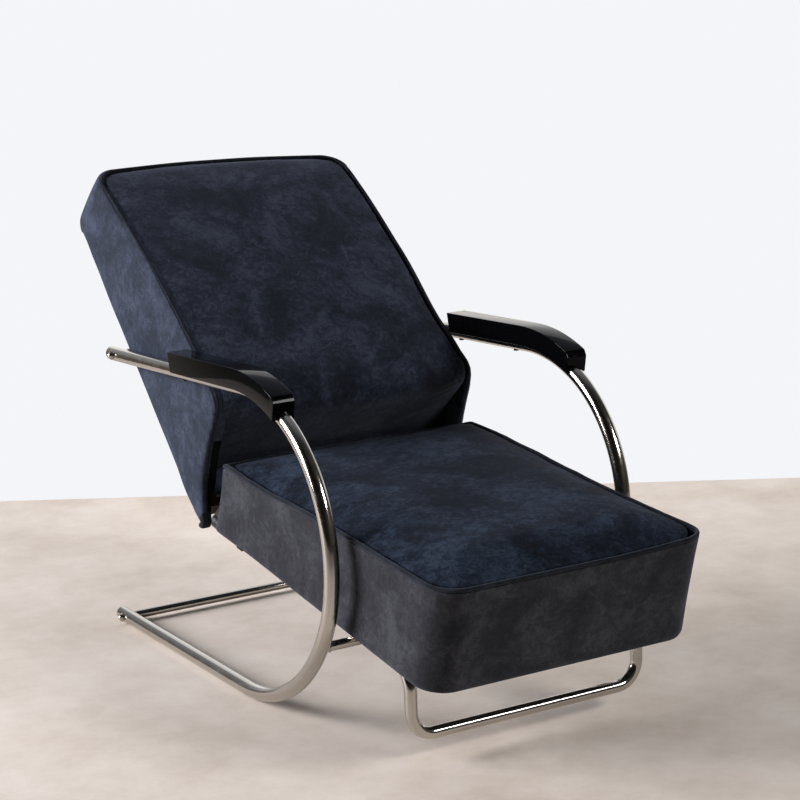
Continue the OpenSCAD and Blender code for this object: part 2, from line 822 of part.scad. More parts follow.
// Ring of the seat's wall at height share t, drawn in by inset
function seat_ring(t, inset) =
    let (draw = seat_draw * sin(180 * t),
         o = outline(seat_half - inset - draw, inset - seat_front_len - seat_front_lean * t,
                     seat_rear_len - seat_rear_lean * t - inset,
                     seat_corner_r - inset, seat_rear_r - inset))
    [for (p = o) [p[0], p[1], seat_n + t * (seat_h(p[1]) - piping_r - fit)]];
wall_shares = [0, 0.25, 0.5, 0.75, 1];
module seat_border() {
    rows = len(wall_shares);
    color(suede)
        seat_place()
            ring_loft(concat(
                [for (t = wall_shares) seat_ring(t, 0)],
                [for (i = [1:rows]) seat_ring(wall_shares[rows - i], seat_border_t)]));
}
// Crowned cushion inside the top of the wall
module seat_cushion() {
    inset = piping_d - piping_proud + run;
    s0 = -seat_front_len - seat_front_lean + inset;
    s1 = seat_rear_len - seat_rear_lean - inset;
    mid = (s0 + s1) / 2;
    base = outline(seat_half - inset, s0, s1, seat_corner_r - inset, seat_rear_r - inset);
    low = outline(seat_half - inset - seat_draw, s0 + seat_front_lean / 3, s1,
                  seat_corner_r - inset, seat_rear_r - inset);
    color(suede)
        seat_place()
            loft(concat(
                [[for (p = low) [p[0], p[1], edge_n(p[1]) - seat_pad_t]]],
                [[for (p = base) [p[0], p[1], edge_n(p[1]) - fit]]],
                [for (f = crown_shares)
                    [for (p = base) let (y = mid + (p[1] - mid) * f)
                        [p[0] * f, y, edge_n(y) + seat_crown * sqrt(1 - pow(f, 4))]]]));
}
// Piping round the top edge of the wall
module seat_piping() {
    inset = piping_r - piping_proud;
    o = outline(seat_half - inset, inset - seat_front_len - seat_front_lean,
                seat_rear_len - seat_rear_lean - inset, seat_corner_r - inset,
                seat_rear_r - inset);
    pts = [for (p = o) [p[0], p[1], edge_n(p[1])]];
    outs = [for (p = o) [p[2], p[3], 0]];
    color(suede_dark)
        seat_place()
            ring_loft(sections(pts, outs, piping_r, pipe_sides, true));
}
// Upright prism over the inside of the seat's wall
module seat_well(inset, z0, z1) {
    o = outline(seat_half - seat_border_t - seat_draw - inset,
                -seat_front_len + seat_border_t + inset,
                seat_rear_len - seat_rear_lean - seat_border_t - inset,
                max(seat_corner_r - seat_border_t - inset, well_r),
                max(seat_rear_r - seat_border_t - inset, well_r));
    translate([0, 0, z0])
        linear_extrude(z1 - z0)
            polygon([for (p = o) [p[0], p[1]]]);
}
// Glued beech frame: side boards that taper to the rear, front and rear boards, two slats
module seat_frame() {
    z0 = seat_n + base_cloth_t + fit;
    s0 = -seat_front_len;
    s1 = seat_rear_len;
    top0 = edge_n(s0) - seat_pad_t - run;
    top1 = edge_n(s1) - seat_pad_t - run;
    w = seat_half - seat_border_t - seat_draw - fit;
    color(beech)
        seat_place()
            difference() {
                intersection() {
                    seat_well(fit, z0, top0 + cut);
                    translate([-seat_half, 0, 0])
                        rotate([90, 0, 90])
                            linear_extrude(2 * seat_half)
                                polygon([[s0, z0], [s1, z0], [s1, top1], [s0, top0]]);
                }
                // The well between the boards, over the slats
                difference() {
                    seat_well(board_t + fit, z0 - cut, top0 + 2 * cut);
                    for (y = [slat_y, saddle_rear_y])
                        translate([-w, y - slat_w / 2, z0 - cut])
                            cube([2 * w, slat_w, slat_t + cut]);
                }
                saddle_holes(small_screw_d / 2 + fit, 0, seat_n + small_screw_len + fit);
            }
}
// Jute straps under the springs, along and across, on top of the slats
web_n = seat_n + base_cloth_t + fit + slat_t + fit;
function seat_s(t) = -seat_front_len + board_t * 2
    + t * (seat_front_len + seat_rear_len - seat_rear_lean - board_t * 4);
module seat_webbing() {
    w = seat_half - seat_border_t - seat_draw - board_t - 3 * fit;
    color(jute)
        seat_place() {
            for (x = [-spring_x, 0, spring_x])
                translate([x - web_w / 2, seat_border_t + board_t + 4 * fit - seat_front_len,
                           web_n])
                    cube([web_w, seat_front_len + seat_rear_len - seat_rear_lean
                          - 2 * (seat_border_t + board_t + 4 * fit), web_t]);
            for (t = seat_spring_shares)
                translate([-w, seat_s(t) - web_w / 2, web_n])
                    cube([2 * w, web_w, web_t]);
        }
}
module seat_springs() {
    z0 = web_n + web_t + fit;
    color(steel)
        seat_place()
            for (x = [-spring_x, 0, spring_x], t = seat_spring_shares)
                translate([x, seat_s(t), z0])
                    spring(edge_n(seat_s(t) + spring_r) - seat_pad_t - z0 - run);
}
// Dust cloth under the boards
module seat_base_cloth() {
    color(cloth)
        seat_place()
            difference() {
                seat_well(fit, seat_n, seat_n + base_cloth_t);
                saddle_holes(small_screw_d / 2 + fit, 0, seat_n + base_cloth_t + cut);
            }
}

// The line of the sled's right half, filled to radius r: rail, leg and half of the bar
sled_half = frame_half - sled_inset;
rail_end_s = rod_s + collar_len / 2;
leg_deg = 90 - seat_tilt;
bend_run = sled_bend_r * tan(leg_deg / 2);
module seat_sled() {
    corner_z = sled_bend_r - stirrup_drop;
    thin_r = sled_r - lap_step;
    thin_wall = thinner(sled_wall);
    color(chrome)
        seat_place() {
            for (m = [0, 1])
                mirror([m, 0, 0]) {
                    bar([-sled_half, rail_end_s, rail_n],
                        [-sled_half, bend_run - stirrup_len - lap, rail_n], thin_r, thin_wall);
                    translate([-sled_half, bend_run - stirrup_len, rail_n - sled_bend_r])
                        rotate([90, 0, 90])
                            rotate([0, 0, 90])
                                rotate_extrude(angle = leg_deg)
                                    translate([sled_bend_r, 0])
                                        round_section(sled_r, sled_wall);
                }
            // The stirrup's legs hang plumb while the seat is as drawn
            translate([0, -stirrup_len, rail_n])
                rotate([-seat_tilt, 0, 0]) {
                    for (m = [0, 1])
                        mirror([m, 0, 0]) {
                            bar([-sled_half, 0, lap - bend_run], [-sled_half, 0, corner_z - lap],
                                thin_r, thin_wall);
                            translate([sled_bend_r - sled_half, 0, corner_z])
                                rotate([90, 0, 0])
                                    rotate([0, 0, 180])
                                        rotate_extrude(angle = 90)
                                            translate([sled_bend_r, 0])
                                                round_section(sled_r, sled_wall);
                        }
                    bar([sled_bend_r - sled_half - lap, 0, -stirrup_drop],
                        [sled_half - sled_bend_r + lap, 0, -stirrup_drop], thin_r, thin_wall);
                }
        }
}
// Lugs welded round the rear ends of the rails, with an eye on the rod
module sled_eyes() {
    r = rod_r + shaft_play + eye_wall;
    color(steel)
        seat_place()
            for (x = [-sled_half, sled_half])
                difference() {
                    union() {
                        translate([x, rod_s - collar_len / 2, rail_n])
                            rotate([-90, 0, 0])
                                cylinder(h = collar_len, r = sled_r + fit + collar_wall);
                        translate([x - eye_t / 2, rod_s, rod_n])
                            rotate([0, 90, 0])
                                cylinder(h = eye_t, r = r);
                        translate([x - eye_t / 2, rod_s - collar_len / 2, rail_n])
                            cube([eye_t, collar_len, rod_n - rail_n]);
                    }
                    translate([x, rod_s - collar_len, rail_n])
                        rotate([-90, 0, 0])
                            cylinder(h = 2 * collar_len, r = sled_r + fit);
                    translate([x - eye_t, rod_s, rod_n])
                        rotate([0, 90, 0])
                            cylinder(h = 2 * eye_t, r = rod_r + shaft_play);
                }
}
// Saddles that hold the rails to the slats
saddle_rear_y = seat_rear_len - seat_rear_lean - slat_w;
module saddle_holes(r, from, to) {
    for (m = [-1, 1], e = [-1, 1], y = [slat_y, saddle_rear_y])
        translate([m * sled_half + e * (sled_r + saddle_t + saddle_ear / 2), y, from])
            cylinder(h = to - from, r = r);
}
module sled_saddles() {
    l = 2 * (sled_r + saddle_t + saddle_ear);
    color(steel)
        seat_place()
            difference() {
                for (m = [-1, 1], y = [slat_y, saddle_rear_y])
                    translate([m * sled_half, y - saddle_w / 2, 0])
                        intersection() {
                            union() {
                                translate([0, 0, rail_n])
                                    rotate([-90, 0, 0])
                                        cylinder(h = saddle_w, r = sled_r + fit + saddle_t);
                                translate([-sled_r - fit - saddle_t, 0, rail_n])
                                    cube([2 * (sled_r + fit + saddle_t), saddle_w, sled_r]);
                                translate([-l / 2, 0, seat_n - fit - saddle_t])
                                    cube([l, saddle_w, saddle_t]);
                            }
                            translate([-l, -cut, 0])
                                cube([2 * l, saddle_w + 2 * cut, seat_n - fit]);
                        }
                for (m = [-1, 1])
                    translate([m * sled_half, 0, 0]) {
                        translate([0, -seat_front_len, rail_n])
                            rotate([-90, 0, 0])
                                cylinder(h = 2 * seat_rear_len, r = sled_r + fit / 2);
                        translate([-sled_r - fit / 2, -seat_front_len, rail_n])
                            cube([sled_d + fit, 2 * seat_rear_len, sled_d]);
                    }
                saddle_holes(small_screw_d / 2 + fit, 0, seat_n);
            }
}
module sled_saddle_screws() {
    under = seat_n - 2 * fit - saddle_t;
    color(steel)
        seat_place() {
            saddle_holes(small_screw_d / 2, under, seat_n + small_screw_len);
            saddle_holes(small_screw_head_r, under - small_screw_head_h, under);
        }
}

side_tube_right();
side_tube_left();
tube_end_plugs();
top_rear_tube();
rear_floor_tube();
front_seat_tube();
tube_bolts();
bolt_washers();
arm_pad_right();
arm_pad_left();
arm_pad_screws();
back_frame();
back_border();
back_panel();
back_foot_panel();
back_webbing();
back_springs();
back_cushion();
back_piping();
pivot_rod();
hinge_clips();
hinge_clip_screws();
seat_frame();
seat_border();
seat_webbing();
seat_springs();
seat_cushion();
seat_piping();
seat_base_cloth();
seat_sled();
sled_eyes();
sled_saddles();
sled_saddle_screws();
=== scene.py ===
# %% [markdown]
# # A cantilever lounge chair, dressed piece by piece
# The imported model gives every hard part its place. This lesson loads it as a frame, keeps the
# small machined parts as they are, and models what the eye rests on again with more care:
# bent chromed tubes, lacquered arm pads, and the two thick upholstered blocks.

# %% Load the frame
import json
from math import sin, cos, tan, pi, radians, hypot, sqrt
import bpy
import bmesh
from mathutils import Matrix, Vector, noise


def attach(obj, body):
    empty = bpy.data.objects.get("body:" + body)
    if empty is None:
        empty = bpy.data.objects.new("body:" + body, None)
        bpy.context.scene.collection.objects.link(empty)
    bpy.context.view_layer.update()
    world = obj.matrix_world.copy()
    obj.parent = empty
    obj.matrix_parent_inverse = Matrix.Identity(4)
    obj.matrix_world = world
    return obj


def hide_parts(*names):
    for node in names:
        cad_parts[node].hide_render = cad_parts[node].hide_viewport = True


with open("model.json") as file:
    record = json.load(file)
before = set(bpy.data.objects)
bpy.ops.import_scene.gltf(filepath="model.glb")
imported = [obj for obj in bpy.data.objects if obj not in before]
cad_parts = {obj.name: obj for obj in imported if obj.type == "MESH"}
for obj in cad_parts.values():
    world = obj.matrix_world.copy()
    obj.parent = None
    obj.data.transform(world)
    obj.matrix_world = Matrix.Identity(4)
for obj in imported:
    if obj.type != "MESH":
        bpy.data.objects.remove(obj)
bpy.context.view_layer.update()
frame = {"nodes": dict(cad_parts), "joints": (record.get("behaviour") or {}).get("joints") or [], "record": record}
nodes = frame["nodes"]
print("loaded", len(nodes), "nodes")

# %% [markdown]
# ## The camera
# The photograph was taken from the chair's front right, a little above the back, with a long
# lens. The place and the lens were solved from the equal side tubes, so they are plain numbers.

# %% Camera
bpy.ops.object.camera_add(location=(-1.880, -3.2196, 1.290),
                          rotation=(radians(77.395), radians(1.649), radians(-31.369)))
camera = bpy.context.object
camera.data.lens = 101.4
camera.data.sensor_width = 36
camera.data.clip_end = 60
bpy.context.scene.camera = camera
print("camera", [round(c, 2) for c in camera.location])

# %% [markdown]
# ## Measures and the two slanted frames
# All sizes are millimetres, as on a drawing, and `mm` turns them to metres at the last step.
# The seat and the back are slanted blocks, so each has a frame of its own: `on_seat` and
# `on_back` carry a point from the block's straight measures to its place in the room.

# %% Measures
mm = 0.001
half_span = 277.0
tube_r = 12.5
bend_start_y = -27.61
low_r, high_r, arm_r = 318.0, 235.0, 290.0
low_deg, high_deg, arm_deg = 60.0, 155.0, 182.6
runner_len, arm_len = 492.0, 508.0


def on_circle(c, r, a):
    return (c[0] - r * sin(radians(a)), c[1] - r * cos(radians(a)))


def next_centre(p, r, a):
    return (p[0] + r * sin(radians(a)), p[1] + r * cos(radians(a)))


low_c = (bend_start_y, tube_r + low_r)
high_c = next_centre(on_circle(low_c, low_r, low_deg), high_r, low_deg)
arm_c = next_centre(on_circle(high_c, high_r, high_deg), arm_r, high_deg)
arm_start = on_circle(arm_c, arm_r, arm_deg)
arm_dir = (-cos(radians(arm_deg)), sin(radians(arm_deg)))
arm_end = (arm_start[0] + arm_len * arm_dir[0], arm_start[1] + arm_len * arm_dir[1])
front_tube = on_circle(low_c, low_r, 56.0)
top_tube = (arm_end[0] - 25.0 * arm_dir[0], arm_end[1] - 25.0 * arm_dir[1])
seat_tilt, back_tilt = radians(8.5), radians(46.6)
clip_u, panel_gap = 365.0, 10.25


def on_seat(x, s, n):
    """A point of the seat: s to the rear along its underside, n out of it."""
    return Vector((x, front_tube[0] + s * cos(seat_tilt) - n * sin(seat_tilt),
                   front_tube[1] + s * sin(seat_tilt) + n * cos(seat_tilt))) * mm


def on_back(x, u, v):
    """A point of the back: u up along its rear panel, v forward out of it."""
    u, v = u - clip_u, v + panel_gap
    return Vector((x, top_tube[0] + u * cos(back_tilt) - v * sin(back_tilt),
                   top_tube[1] + u * sin(back_tilt) + v * cos(back_tilt))) * mm


def seat_of(co):
    """A room point in the seat's own measures, in mm."""
    y, z = co.y / mm - front_tube[0], co.z / mm - front_tube[1]
    return (co.x / mm, y * cos(seat_tilt) + z * sin(seat_tilt),
            -y * sin(seat_tilt) + z * cos(seat_tilt))


def back_of(co):
    """A room point in the back's own measures, in mm."""
    y, z = co.y / mm - top_tube[0], co.z / mm - top_tube[1]
    return (co.x / mm, y * cos(back_tilt) + z * sin(back_tilt) + clip_u,
            -y * sin(back_tilt) + z * cos(back_tilt) - panel_gap)


print("rear cross tube at", [round(c, 1) for c in top_tube])

# %% [markdown]
# ## Small helpers
# An operator acts on everything that is selected, so each piece starts with an empty
# selection. `done` names a piece, puts its origin at the room's origin, smooths it and gives it
# its material and its body. `by_distance` merges doubled vertices after a spin or a cut.

# %% Helpers
def only(obj):
    bpy.ops.object.select_all(action="DESELECT")
    obj.select_set(True)
    bpy.context.view_layer.objects.active = obj


def start():
    if bpy.context.object and bpy.context.object.mode != "OBJECT":
        bpy.ops.object.mode_set(mode="OBJECT")
    bpy.ops.object.select_all(action="DESELECT")


def apply_all(obj):
    only(obj)
    for m in list(obj.modifiers):
        bpy.ops.object.modifier_apply(modifier=m.name)


def done(obj, name, body, material, replaced=(), angle=40):
    bpy.ops.object.mode_set(mode="OBJECT")
    only(obj)
    obj.name = name
    obj.data.name = name
    bpy.ops.object.transform_apply(location=True, rotation=True, scale=True)
    bpy.ops.object.shade_smooth_by_angle(angle=radians(angle))
    obj.data.materials.clear()
    obj.data.materials.append(material)
    if replaced:
        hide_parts(*replaced)
    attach(obj, body)
    print(name, len(obj.data.polygons), "faces")
    return obj


def by_distance(obj, distance=0.00002):
    only(obj)
    bpy.ops.object.mode_set(mode="EDIT")
    bpy.ops.mesh.select_all(action="SELECT")
    bpy.ops.mesh.remove_doubles(threshold=distance)
    bpy.ops.mesh.normals_make_consistent(inside=False)
    bpy.ops.object.mode_set(mode="OBJECT")


# %% [markdown]
# ## Finishes
# Colours are written as on a colour card and turned to linear light by one function. `add`
# places one node, sets it and links it, so that each material below reads as a short list.

# %% Material tools
def linear(hex_colour, alpha=1.0):
    parts = [int(hex_colour[i:i + 2], 16) / 255 for i in (1, 3, 5)]
    return [c / 12.92 if c <= 0.04045 else ((c + 0.055) / 1.055) ** 2.4 for c in parts] + [alpha]


def new_material(name, **shader):
    m = bpy.data.materials.new(name)
    m.use_nodes = True
    b = m.node_tree.nodes["Principled BSDF"]
    for key, value in shader.items():
        b.inputs[key.replace("_", " ")].default_value = value
    m.diffuse_color = shader.get("Base_Color", (0.5, 0.5, 0.5, 1))
    return m


def add(m, kind, links=(), ramp=None, **settings):
    """Adds a node. links are (input, node, output); settings name attributes or inputs."""
    n = m.node_tree.nodes.new("ShaderNode" + kind)
    for key, value in settings.items():
        if hasattr(n, key):
            setattr(n, key, value)
        else:
            n.inputs[key.replace("_", " ")].default_value = value
    for to, source, output in links:
        m.node_tree.links.new(source.outputs[output], n.inputs[to])
    if ramp:
        while len(n.color_ramp.elements) < len(ramp):
            n.color_ramp.elements.new(0.5)
        for e, (place, colour) in zip(n.color_ramp.elements, ramp):
            e.position = place
            e.color = colour
    return n


def feed(m, socket, node, output):
    m.node_tree.links.new(node.outputs[output], m.node_tree.nodes["Principled BSDF"].inputs[socket])


# %% [markdown]
# ### Microfibre suede
# The cover is a dark slate-blue microfibre with a brushed nap: matt, with broad cloudy marks
# where hands and sitters turned the nap, a fine crackle of a few millimetres, and a pale
# sheen where light grazes it. The nap itself is under half a millimetre, so its grain is drawn
# at about one millimetre to show at this distance.

# %% Suede
stroke_share, grain_share, crease_share = 0.4, 0.32, 0.35


def suede(name, dark, mid, light, sheen, cloud=10.0, shine=0.2):
    m = new_material(name, Roughness=0.92, Sheen_Weight=sheen, Sheen_Roughness=0.45,
                     Sheen_Tint=linear("#8c94a8"), Specular_IOR_Level=shine,
                     Base_Color=linear(mid))
    at = add(m, "TexCoord")
    clouds = add(m, "TexNoise", [("Vector", at, "Object")], Scale=cloud, Detail=5.0,
                 Roughness=0.62, Distortion=0.6)
    strokes = add(m, "TexNoise", [("Vector", at, "Object")], Scale=70.0, Detail=4.0,
                  Roughness=0.6, Distortion=1.2)
    grain = add(m, "TexNoise", [("Vector", at, "Object")], Scale=950.0, Detail=2.0,
                Roughness=0.6)
    crackle = add(m, "TexVoronoi", [("Vector", at, "Object")], feature="DISTANCE_TO_EDGE",
                  Scale=210.0)
    blend = add(m, "Mix", data_type="FLOAT")
    m.node_tree.links.new(clouds.outputs["Fac"], blend.inputs[2])
    m.node_tree.links.new(strokes.outputs["Fac"], blend.inputs[3])
    blend.inputs[0].default_value = stroke_share
    mixed = add(m, "Math", operation="MULTIPLY_ADD")
    m.node_tree.links.new(grain.outputs["Fac"], mixed.inputs[0])
    mixed.inputs[1].default_value = grain_share
    m.node_tree.links.new(blend.outputs[0], mixed.inputs[2])
    tone = add(m, "ValToRGB", [("Fac", mixed, "Value")],
               ramp=[(0.56, linear(dark)), (0.66, linear(mid)), (0.78, linear(light))])
    feed(m, "Base Color", tone, "Color")
    creases = add(m, "ValToRGB", [("Fac", crackle, "Distance")],
                  ramp=[(0.0, (0, 0, 0, 1)), (0.18, (1, 1, 1, 1))])
    height = add(m, "Math", operation="MULTIPLY_ADD")
    m.node_tree.links.new(creases.outputs["Color"], height.inputs[0])
    height.inputs[1].default_value = crease_share
    m.node_tree.links.new(grain.outputs["Fac"], height.inputs[2])
    bump = add(m, "Bump", [("Height", height, "Value")], Strength=0.35, Distance=0.0006)
    feed(m, "Normal", bump, "Normal")
    return m


cover = suede("slate_microfibre_suede", "#131721", "#222733", "#39404f", 0.3)
# Painted shade: a darker copy of the cover for the seat cushion, standing in for the shade on the seat top
painted_shade_seat_cover = suede("slate_microfibre_suede_seat_painted_shade", "#060a11", "#121925", "#2b3543", 0.08, 9.0, 0.1)
# Painted light: a lighter, bluer copy of the cover for the back's sides and its rear panel, standing in for the
# window light on them
painted_light_flank_cover = suede("slate_microfibre_suede_flanks_painted_light", "#191e29", "#252b38", "#383f4e", 0.33, 12.0)
# Painted light: a neutral grey copy of the cover for the seat's walls and the other upholstery, standing in for
# warm light thrown up from the floor
bounce_lit_side_cover = suede("microfibre_suede_painted_bounce_light", "#18181a", "#252528", "#39393d", 0.45, 12.0)
# Painted shade: the welt is the cover's cloth drawn darker, standing in for the shade in the grooves beside the
# piping
shaded_welt_cloth = suede("bias_cut_suede_welt_painted_shade", "#0d0f14", "#15181e", "#23272e", 0.25, 14.0)
# Painted shade: a near-black copy of the cloth for the fold beside the seat, where there is only shade
painted_shade_cloth = suede("near_black_shade_cloth", "#050506", "#09090b", "#0e0e11", 0.0, 10.0, 0.05)
print("suede", [m.name for m in (cover, painted_shade_seat_cover, painted_light_flank_cover, bounce_lit_side_cover, shaded_welt_cloth, painted_shade_cloth)])

# %% [markdown]
# ### Polished chrome plate
# Chrome is a mirror with a faint warm grey of its own. Old plate has a haze of fine pits, so
# the roughness wanders a little, and the surface is bumped by a few thousandths of a
# millimetre, drawn coarser here than it is.

# %% Chrome
chrome = new_material("polished_chrome_plate", Base_Color=linear("#b9b4ac"), Metallic=1.0,
                      Roughness=0.1)
at = add(chrome, "TexCoord")
haze = add(chrome, "TexNoise", [("Vector", at, "Object")], Scale=45.0, Detail=6.0,
           Roughness=0.65)
rough = add(chrome, "MapRange", [("Value", haze, "Fac")], From_Min=0.35, From_Max=0.75,
            To_Min=0.1, To_Max=0.2)
feed(chrome, "Roughness", rough, "Result")
pits = add(chrome, "TexNoise", [("Vector", at, "Object")], Scale=600.0, Detail=2.0)
bump = add(chrome, "Bump", [("Height", pits, "Fac")], Strength=0.03, Distance=0.0003)
feed(chrome, "Normal", bump, "Normal")

# %% [markdown]
# ### Black lacquer, steel, beech and cloths
# The arm pads are hardwood under many coats of black lacquer: almost no colour, a wet gloss,
# and a long faint waviness of the film. Under the chair there are steel with its scale marks,
# beech, jute webbing and a spun base cloth; each gets the pattern of its making at its real
# size. The steel and the beech are coloured very dark as painted shade, so the frame seen
# between the wings and the seat reads as the shade there.

# %% Lacquer and inner materials
lacquer = new_material("black_gloss_lacquer", Base_Color=linear("#050506"), Roughness=0.06,
                       IOR=1.22, Specular_IOR_Level=0.36)
at = add(lacquer, "TexCoord")
film = add(lacquer, "TexNoise", [("Vector", at, "Object")], Scale=90.0, Detail=3.0)
rough = add(lacquer, "MapRange", [("Value", film, "Fac")], From_Min=0.3, From_Max=0.7,
            To_Min=0.04, To_Max=0.09)
feed(lacquer, "Roughness", rough, "Result")
bump = add(lacquer, "Bump", [("Height", film, "Fac")], Strength=0.03, Distance=0.0006)
feed(lacquer, "Normal", bump, "Normal")

# Painted shade: the steel is kept very dark, so the hardware seen between the wings and the seat reads as the
# shade there
steel = new_material("steel_darkened_as_painted_shade", Base_Color=linear("#3a3b3d"), Metallic=1.0,
                     Roughness=0.45)
at = add(steel, "TexCoord")
scale_marks = add(steel, "TexNoise", [("Vector", at, "Object")], Scale=130.0, Detail=6.0)
tone = add(steel, "ValToRGB", [("Fac", scale_marks, "Fac")],
           ramp=[(0.35, linear("#27282a")), (0.7, linear("#4a4b4e"))])
feed(steel, "Base Color", tone, "Color")
rough = add(steel, "MapRange", [("Value", scale_marks, "Fac")], To_Min=0.28, To_Max=0.5)
feed(steel, "Roughness", rough, "Result")

# Painted shade: the beech is coloured very dark, so the frame seen between the wings and the seat reads as the
# shade there
beech = new_material("beech_darkened_as_painted_shade", Base_Color=linear("#3a2a1d"), Roughness=0.6)
at = add(beech, "TexCoord")
stretch = add(beech, "Mapping", [("Vector", at, "Object")], Scale=(8.0, 90.0, 90.0))
grain = add(beech, "TexNoise", [("Vector", stretch, "Vector")], Scale=1.0, Detail=6.0,
            Distortion=0.4)
tone = add(beech, "ValToRGB", [("Fac", grain, "Fac")],
           ramp=[(0.3, linear("#281c13")), (0.7, linear("#4a3626"))])
feed(beech, "Base Color", tone, "Color")
bump = add(beech, "Bump", [("Height", grain, "Fac")], Strength=0.1, Distance=0.0005)
feed(beech, "Normal", bump, "Normal")


def woven(name, low, high, per_metre):
    """A plain weave: two crossed sets of threads."""
    m = new_material(name, Base_Color=linear(high), Roughness=0.95)
    at = add(m, "TexCoord")
    a = add(m, "TexWave", [("Vector", at, "Object")], bands_direction="X", Scale=per_metre / 6.3)
    b = add(m, "TexWave", [("Vector", at, "Object")], bands_direction="Y", Scale=per_metre / 6.3)
    both = add(m, "Math", operation="MAXIMUM")
    m.node_tree.links.new(a.outputs["Fac"], both.inputs[0])
    m.node_tree.links.new(b.outputs["Fac"], both.inputs[1])
    tone = add(m, "ValToRGB", [("Fac", both, "Value")],
               ramp=[(0.2, linear(low)), (0.9, linear(high))])
    feed(m, "Base Color", tone, "Color")
    bump = add(m, "Bump", [("Height", both, "Value")], Strength=0.3, Distance=0.0006)
    feed(m, "Normal", bump, "Normal")
    return m


jute = woven("jute_webbing", "#6f5733", "#ab8a58", 500.0)
base_cloth = woven("spun_base_cloth", "#101114", "#24262b", 800.0)

finish_of = {"chrome": chrome, "black_lacquer": lacquer, "upholstery": bounce_lit_side_cover,
             "piping_cloth": shaded_welt_cloth, "beech": beech, "jute": jute, "steel": steel,
             "base_cloth": base_cloth}
for part in frame["record"]["subparts"]:
    node = nodes[part["node"]]
    node.data.materials.clear()
    finish = painted_light_flank_cover if part["node"] == "back_panel" else finish_of[part["material_slot"]]
    node.data.materials.append(finish)
print("finishes on", len(nodes), "nodes")

# %% [markdown]
# ## The bent tubes
# The real side tube is one length of steel, bent three times on formers of different radius.
# In Blender it is made the same way: a circle is the tube's end, an extrusion is a straight
# length, and a spin is a bend round its former. A curve with a bevel would be quicker, but the
# spin keeps every bend a true arc.

# %% Tube maker
spin_sign = -1.0


def tube(name, r, at, facing, moves, around=48):
    """moves: ("run", vector in mm) or ("bend", centre in mm, axis, degrees)."""
    start()
    bpy.ops.mesh.primitive_circle_add(vertices=around, radius=r * mm, fill_type="NGON",
                                      location=Vector(at) * mm, rotation=facing)
    obj = bpy.context.object
    bpy.ops.object.transform_apply(location=True, rotation=True, scale=True)
    bpy.ops.object.mode_set(mode="EDIT")
    bpy.ops.mesh.select_all(action="SELECT")
    for m in moves:
        if m[0] == "run":
            bpy.ops.mesh.extrude_region_move(
                TRANSFORM_OT_translate={"value": Vector(m[1]) * mm})
        else:
            bpy.ops.mesh.spin(steps=max(2, round(abs(m[3]) / 2.0)), use_auto_merge=False,
                              angle=spin_sign * radians(m[3]), center=Vector(m[1]) * mm,
                              axis=m[2])
    bpy.ops.object.mode_set(mode="OBJECT")
    by_distance(obj)
    return obj


for side, name in ((-1, "right"), (1, "left")):
    x = side * half_span
    obj = tube("side", tube_r, (x, bend_start_y + runner_len, tube_r), (radians(90), 0, 0),
               [("run", (0, -runner_len, 0)),
                ("bend", (x, low_c[0], low_c[1]), (-1, 0, 0), low_deg),
                ("bend", (x, high_c[0], high_c[1]), (-1, 0, 0), high_deg - low_deg),
                ("bend", (x, arm_c[0], arm_c[1]), (-1, 0, 0), arm_deg - high_deg),
                ("run", (0, arm_len * arm_dir[0], arm_len * arm_dir[1]))])
    done(obj, "bent_side_tube_" + name, "frame", chrome, ["side_tube_" + name])

# %% [markdown]
# The sled is the same kind of work in a thinner tube: a rail, a bend down into the stirrup's
# leg, a bend across, the bar, and the same way back.

# %% Sled and stirrup
sled_r, sled_half, sled_bend = 10.0, 213.0, 40.0
rail_n, stirrup_len, stirrup_drop = 18.3, 159.0, 106.0
leg_deg = 90.0 - 8.5
bend_run = sled_bend * tan(radians(leg_deg) / 2)
rod = (frame["joints"][1]["pos_m"][1] / mm, frame["joints"][1]["pos_m"][2] / mm)
rod_s = ((rod[0] - front_tube[0]) * cos(seat_tilt) + (rod[1] - front_tube[1]) * sin(seat_tilt))


def seat_mm(x, s, n):
    return on_seat(x, s, n) / mm


rail_end = seat_mm(-sled_half, rod_s + 12.0, rail_n)
rail_front = seat_mm(-sled_half, bend_run - stirrup_len, rail_n)
leg_top = seat_mm(-sled_half, -stirrup_len, rail_n)
leg = stirrup_drop - bend_run - sled_bend
bar = 2 * (sled_half - sled_bend)
centre = seat_mm(-sled_half, bend_run - stirrup_len, rail_n - sled_bend)
turn_z = leg_top.z - stirrup_drop + sled_bend
obj = tube("sled", sled_r, rail_end, (radians(90) + seat_tilt, 0, 0),
           [("run", rail_front - rail_end),
            ("bend", centre, (1, 0, 0), leg_deg),
            ("run", (0, 0, -leg)),
            ("bend", (sled_bend - sled_half, leg_top.y, turn_z), (0, -1, 0), 90.0),
            ("run", (bar, 0, 0)),
            ("bend", (sled_half - sled_bend, leg_top.y, turn_z), (0, -1, 0), 90.0),
            ("run", (0, 0, leg)),
            ("bend", Vector((sled_half, centre.y, centre.z)), (-1, 0, 0), leg_deg),
            ("run", Vector((0, rail_end.y - rail_front.y, rail_end.z - rail_front.z)))])
done(obj, "bent_sled_tube", "seat", chrome, ["seat_sled"])

# %% [markdown]
# ## The arm pads
# Each pad is a bar of lacquered hardwood, steam bent over the front of the arm and grooved
# underneath for the tube. A rectangle is drawn out along the arm, spun round the same centre
# as the tube and trimmed by two leaning cuts. The upper edge of its nose gets one broad slope,
# then all edges are broken by a narrow bevel that catches the light. The groove is cut last
# with a copy of the tube.

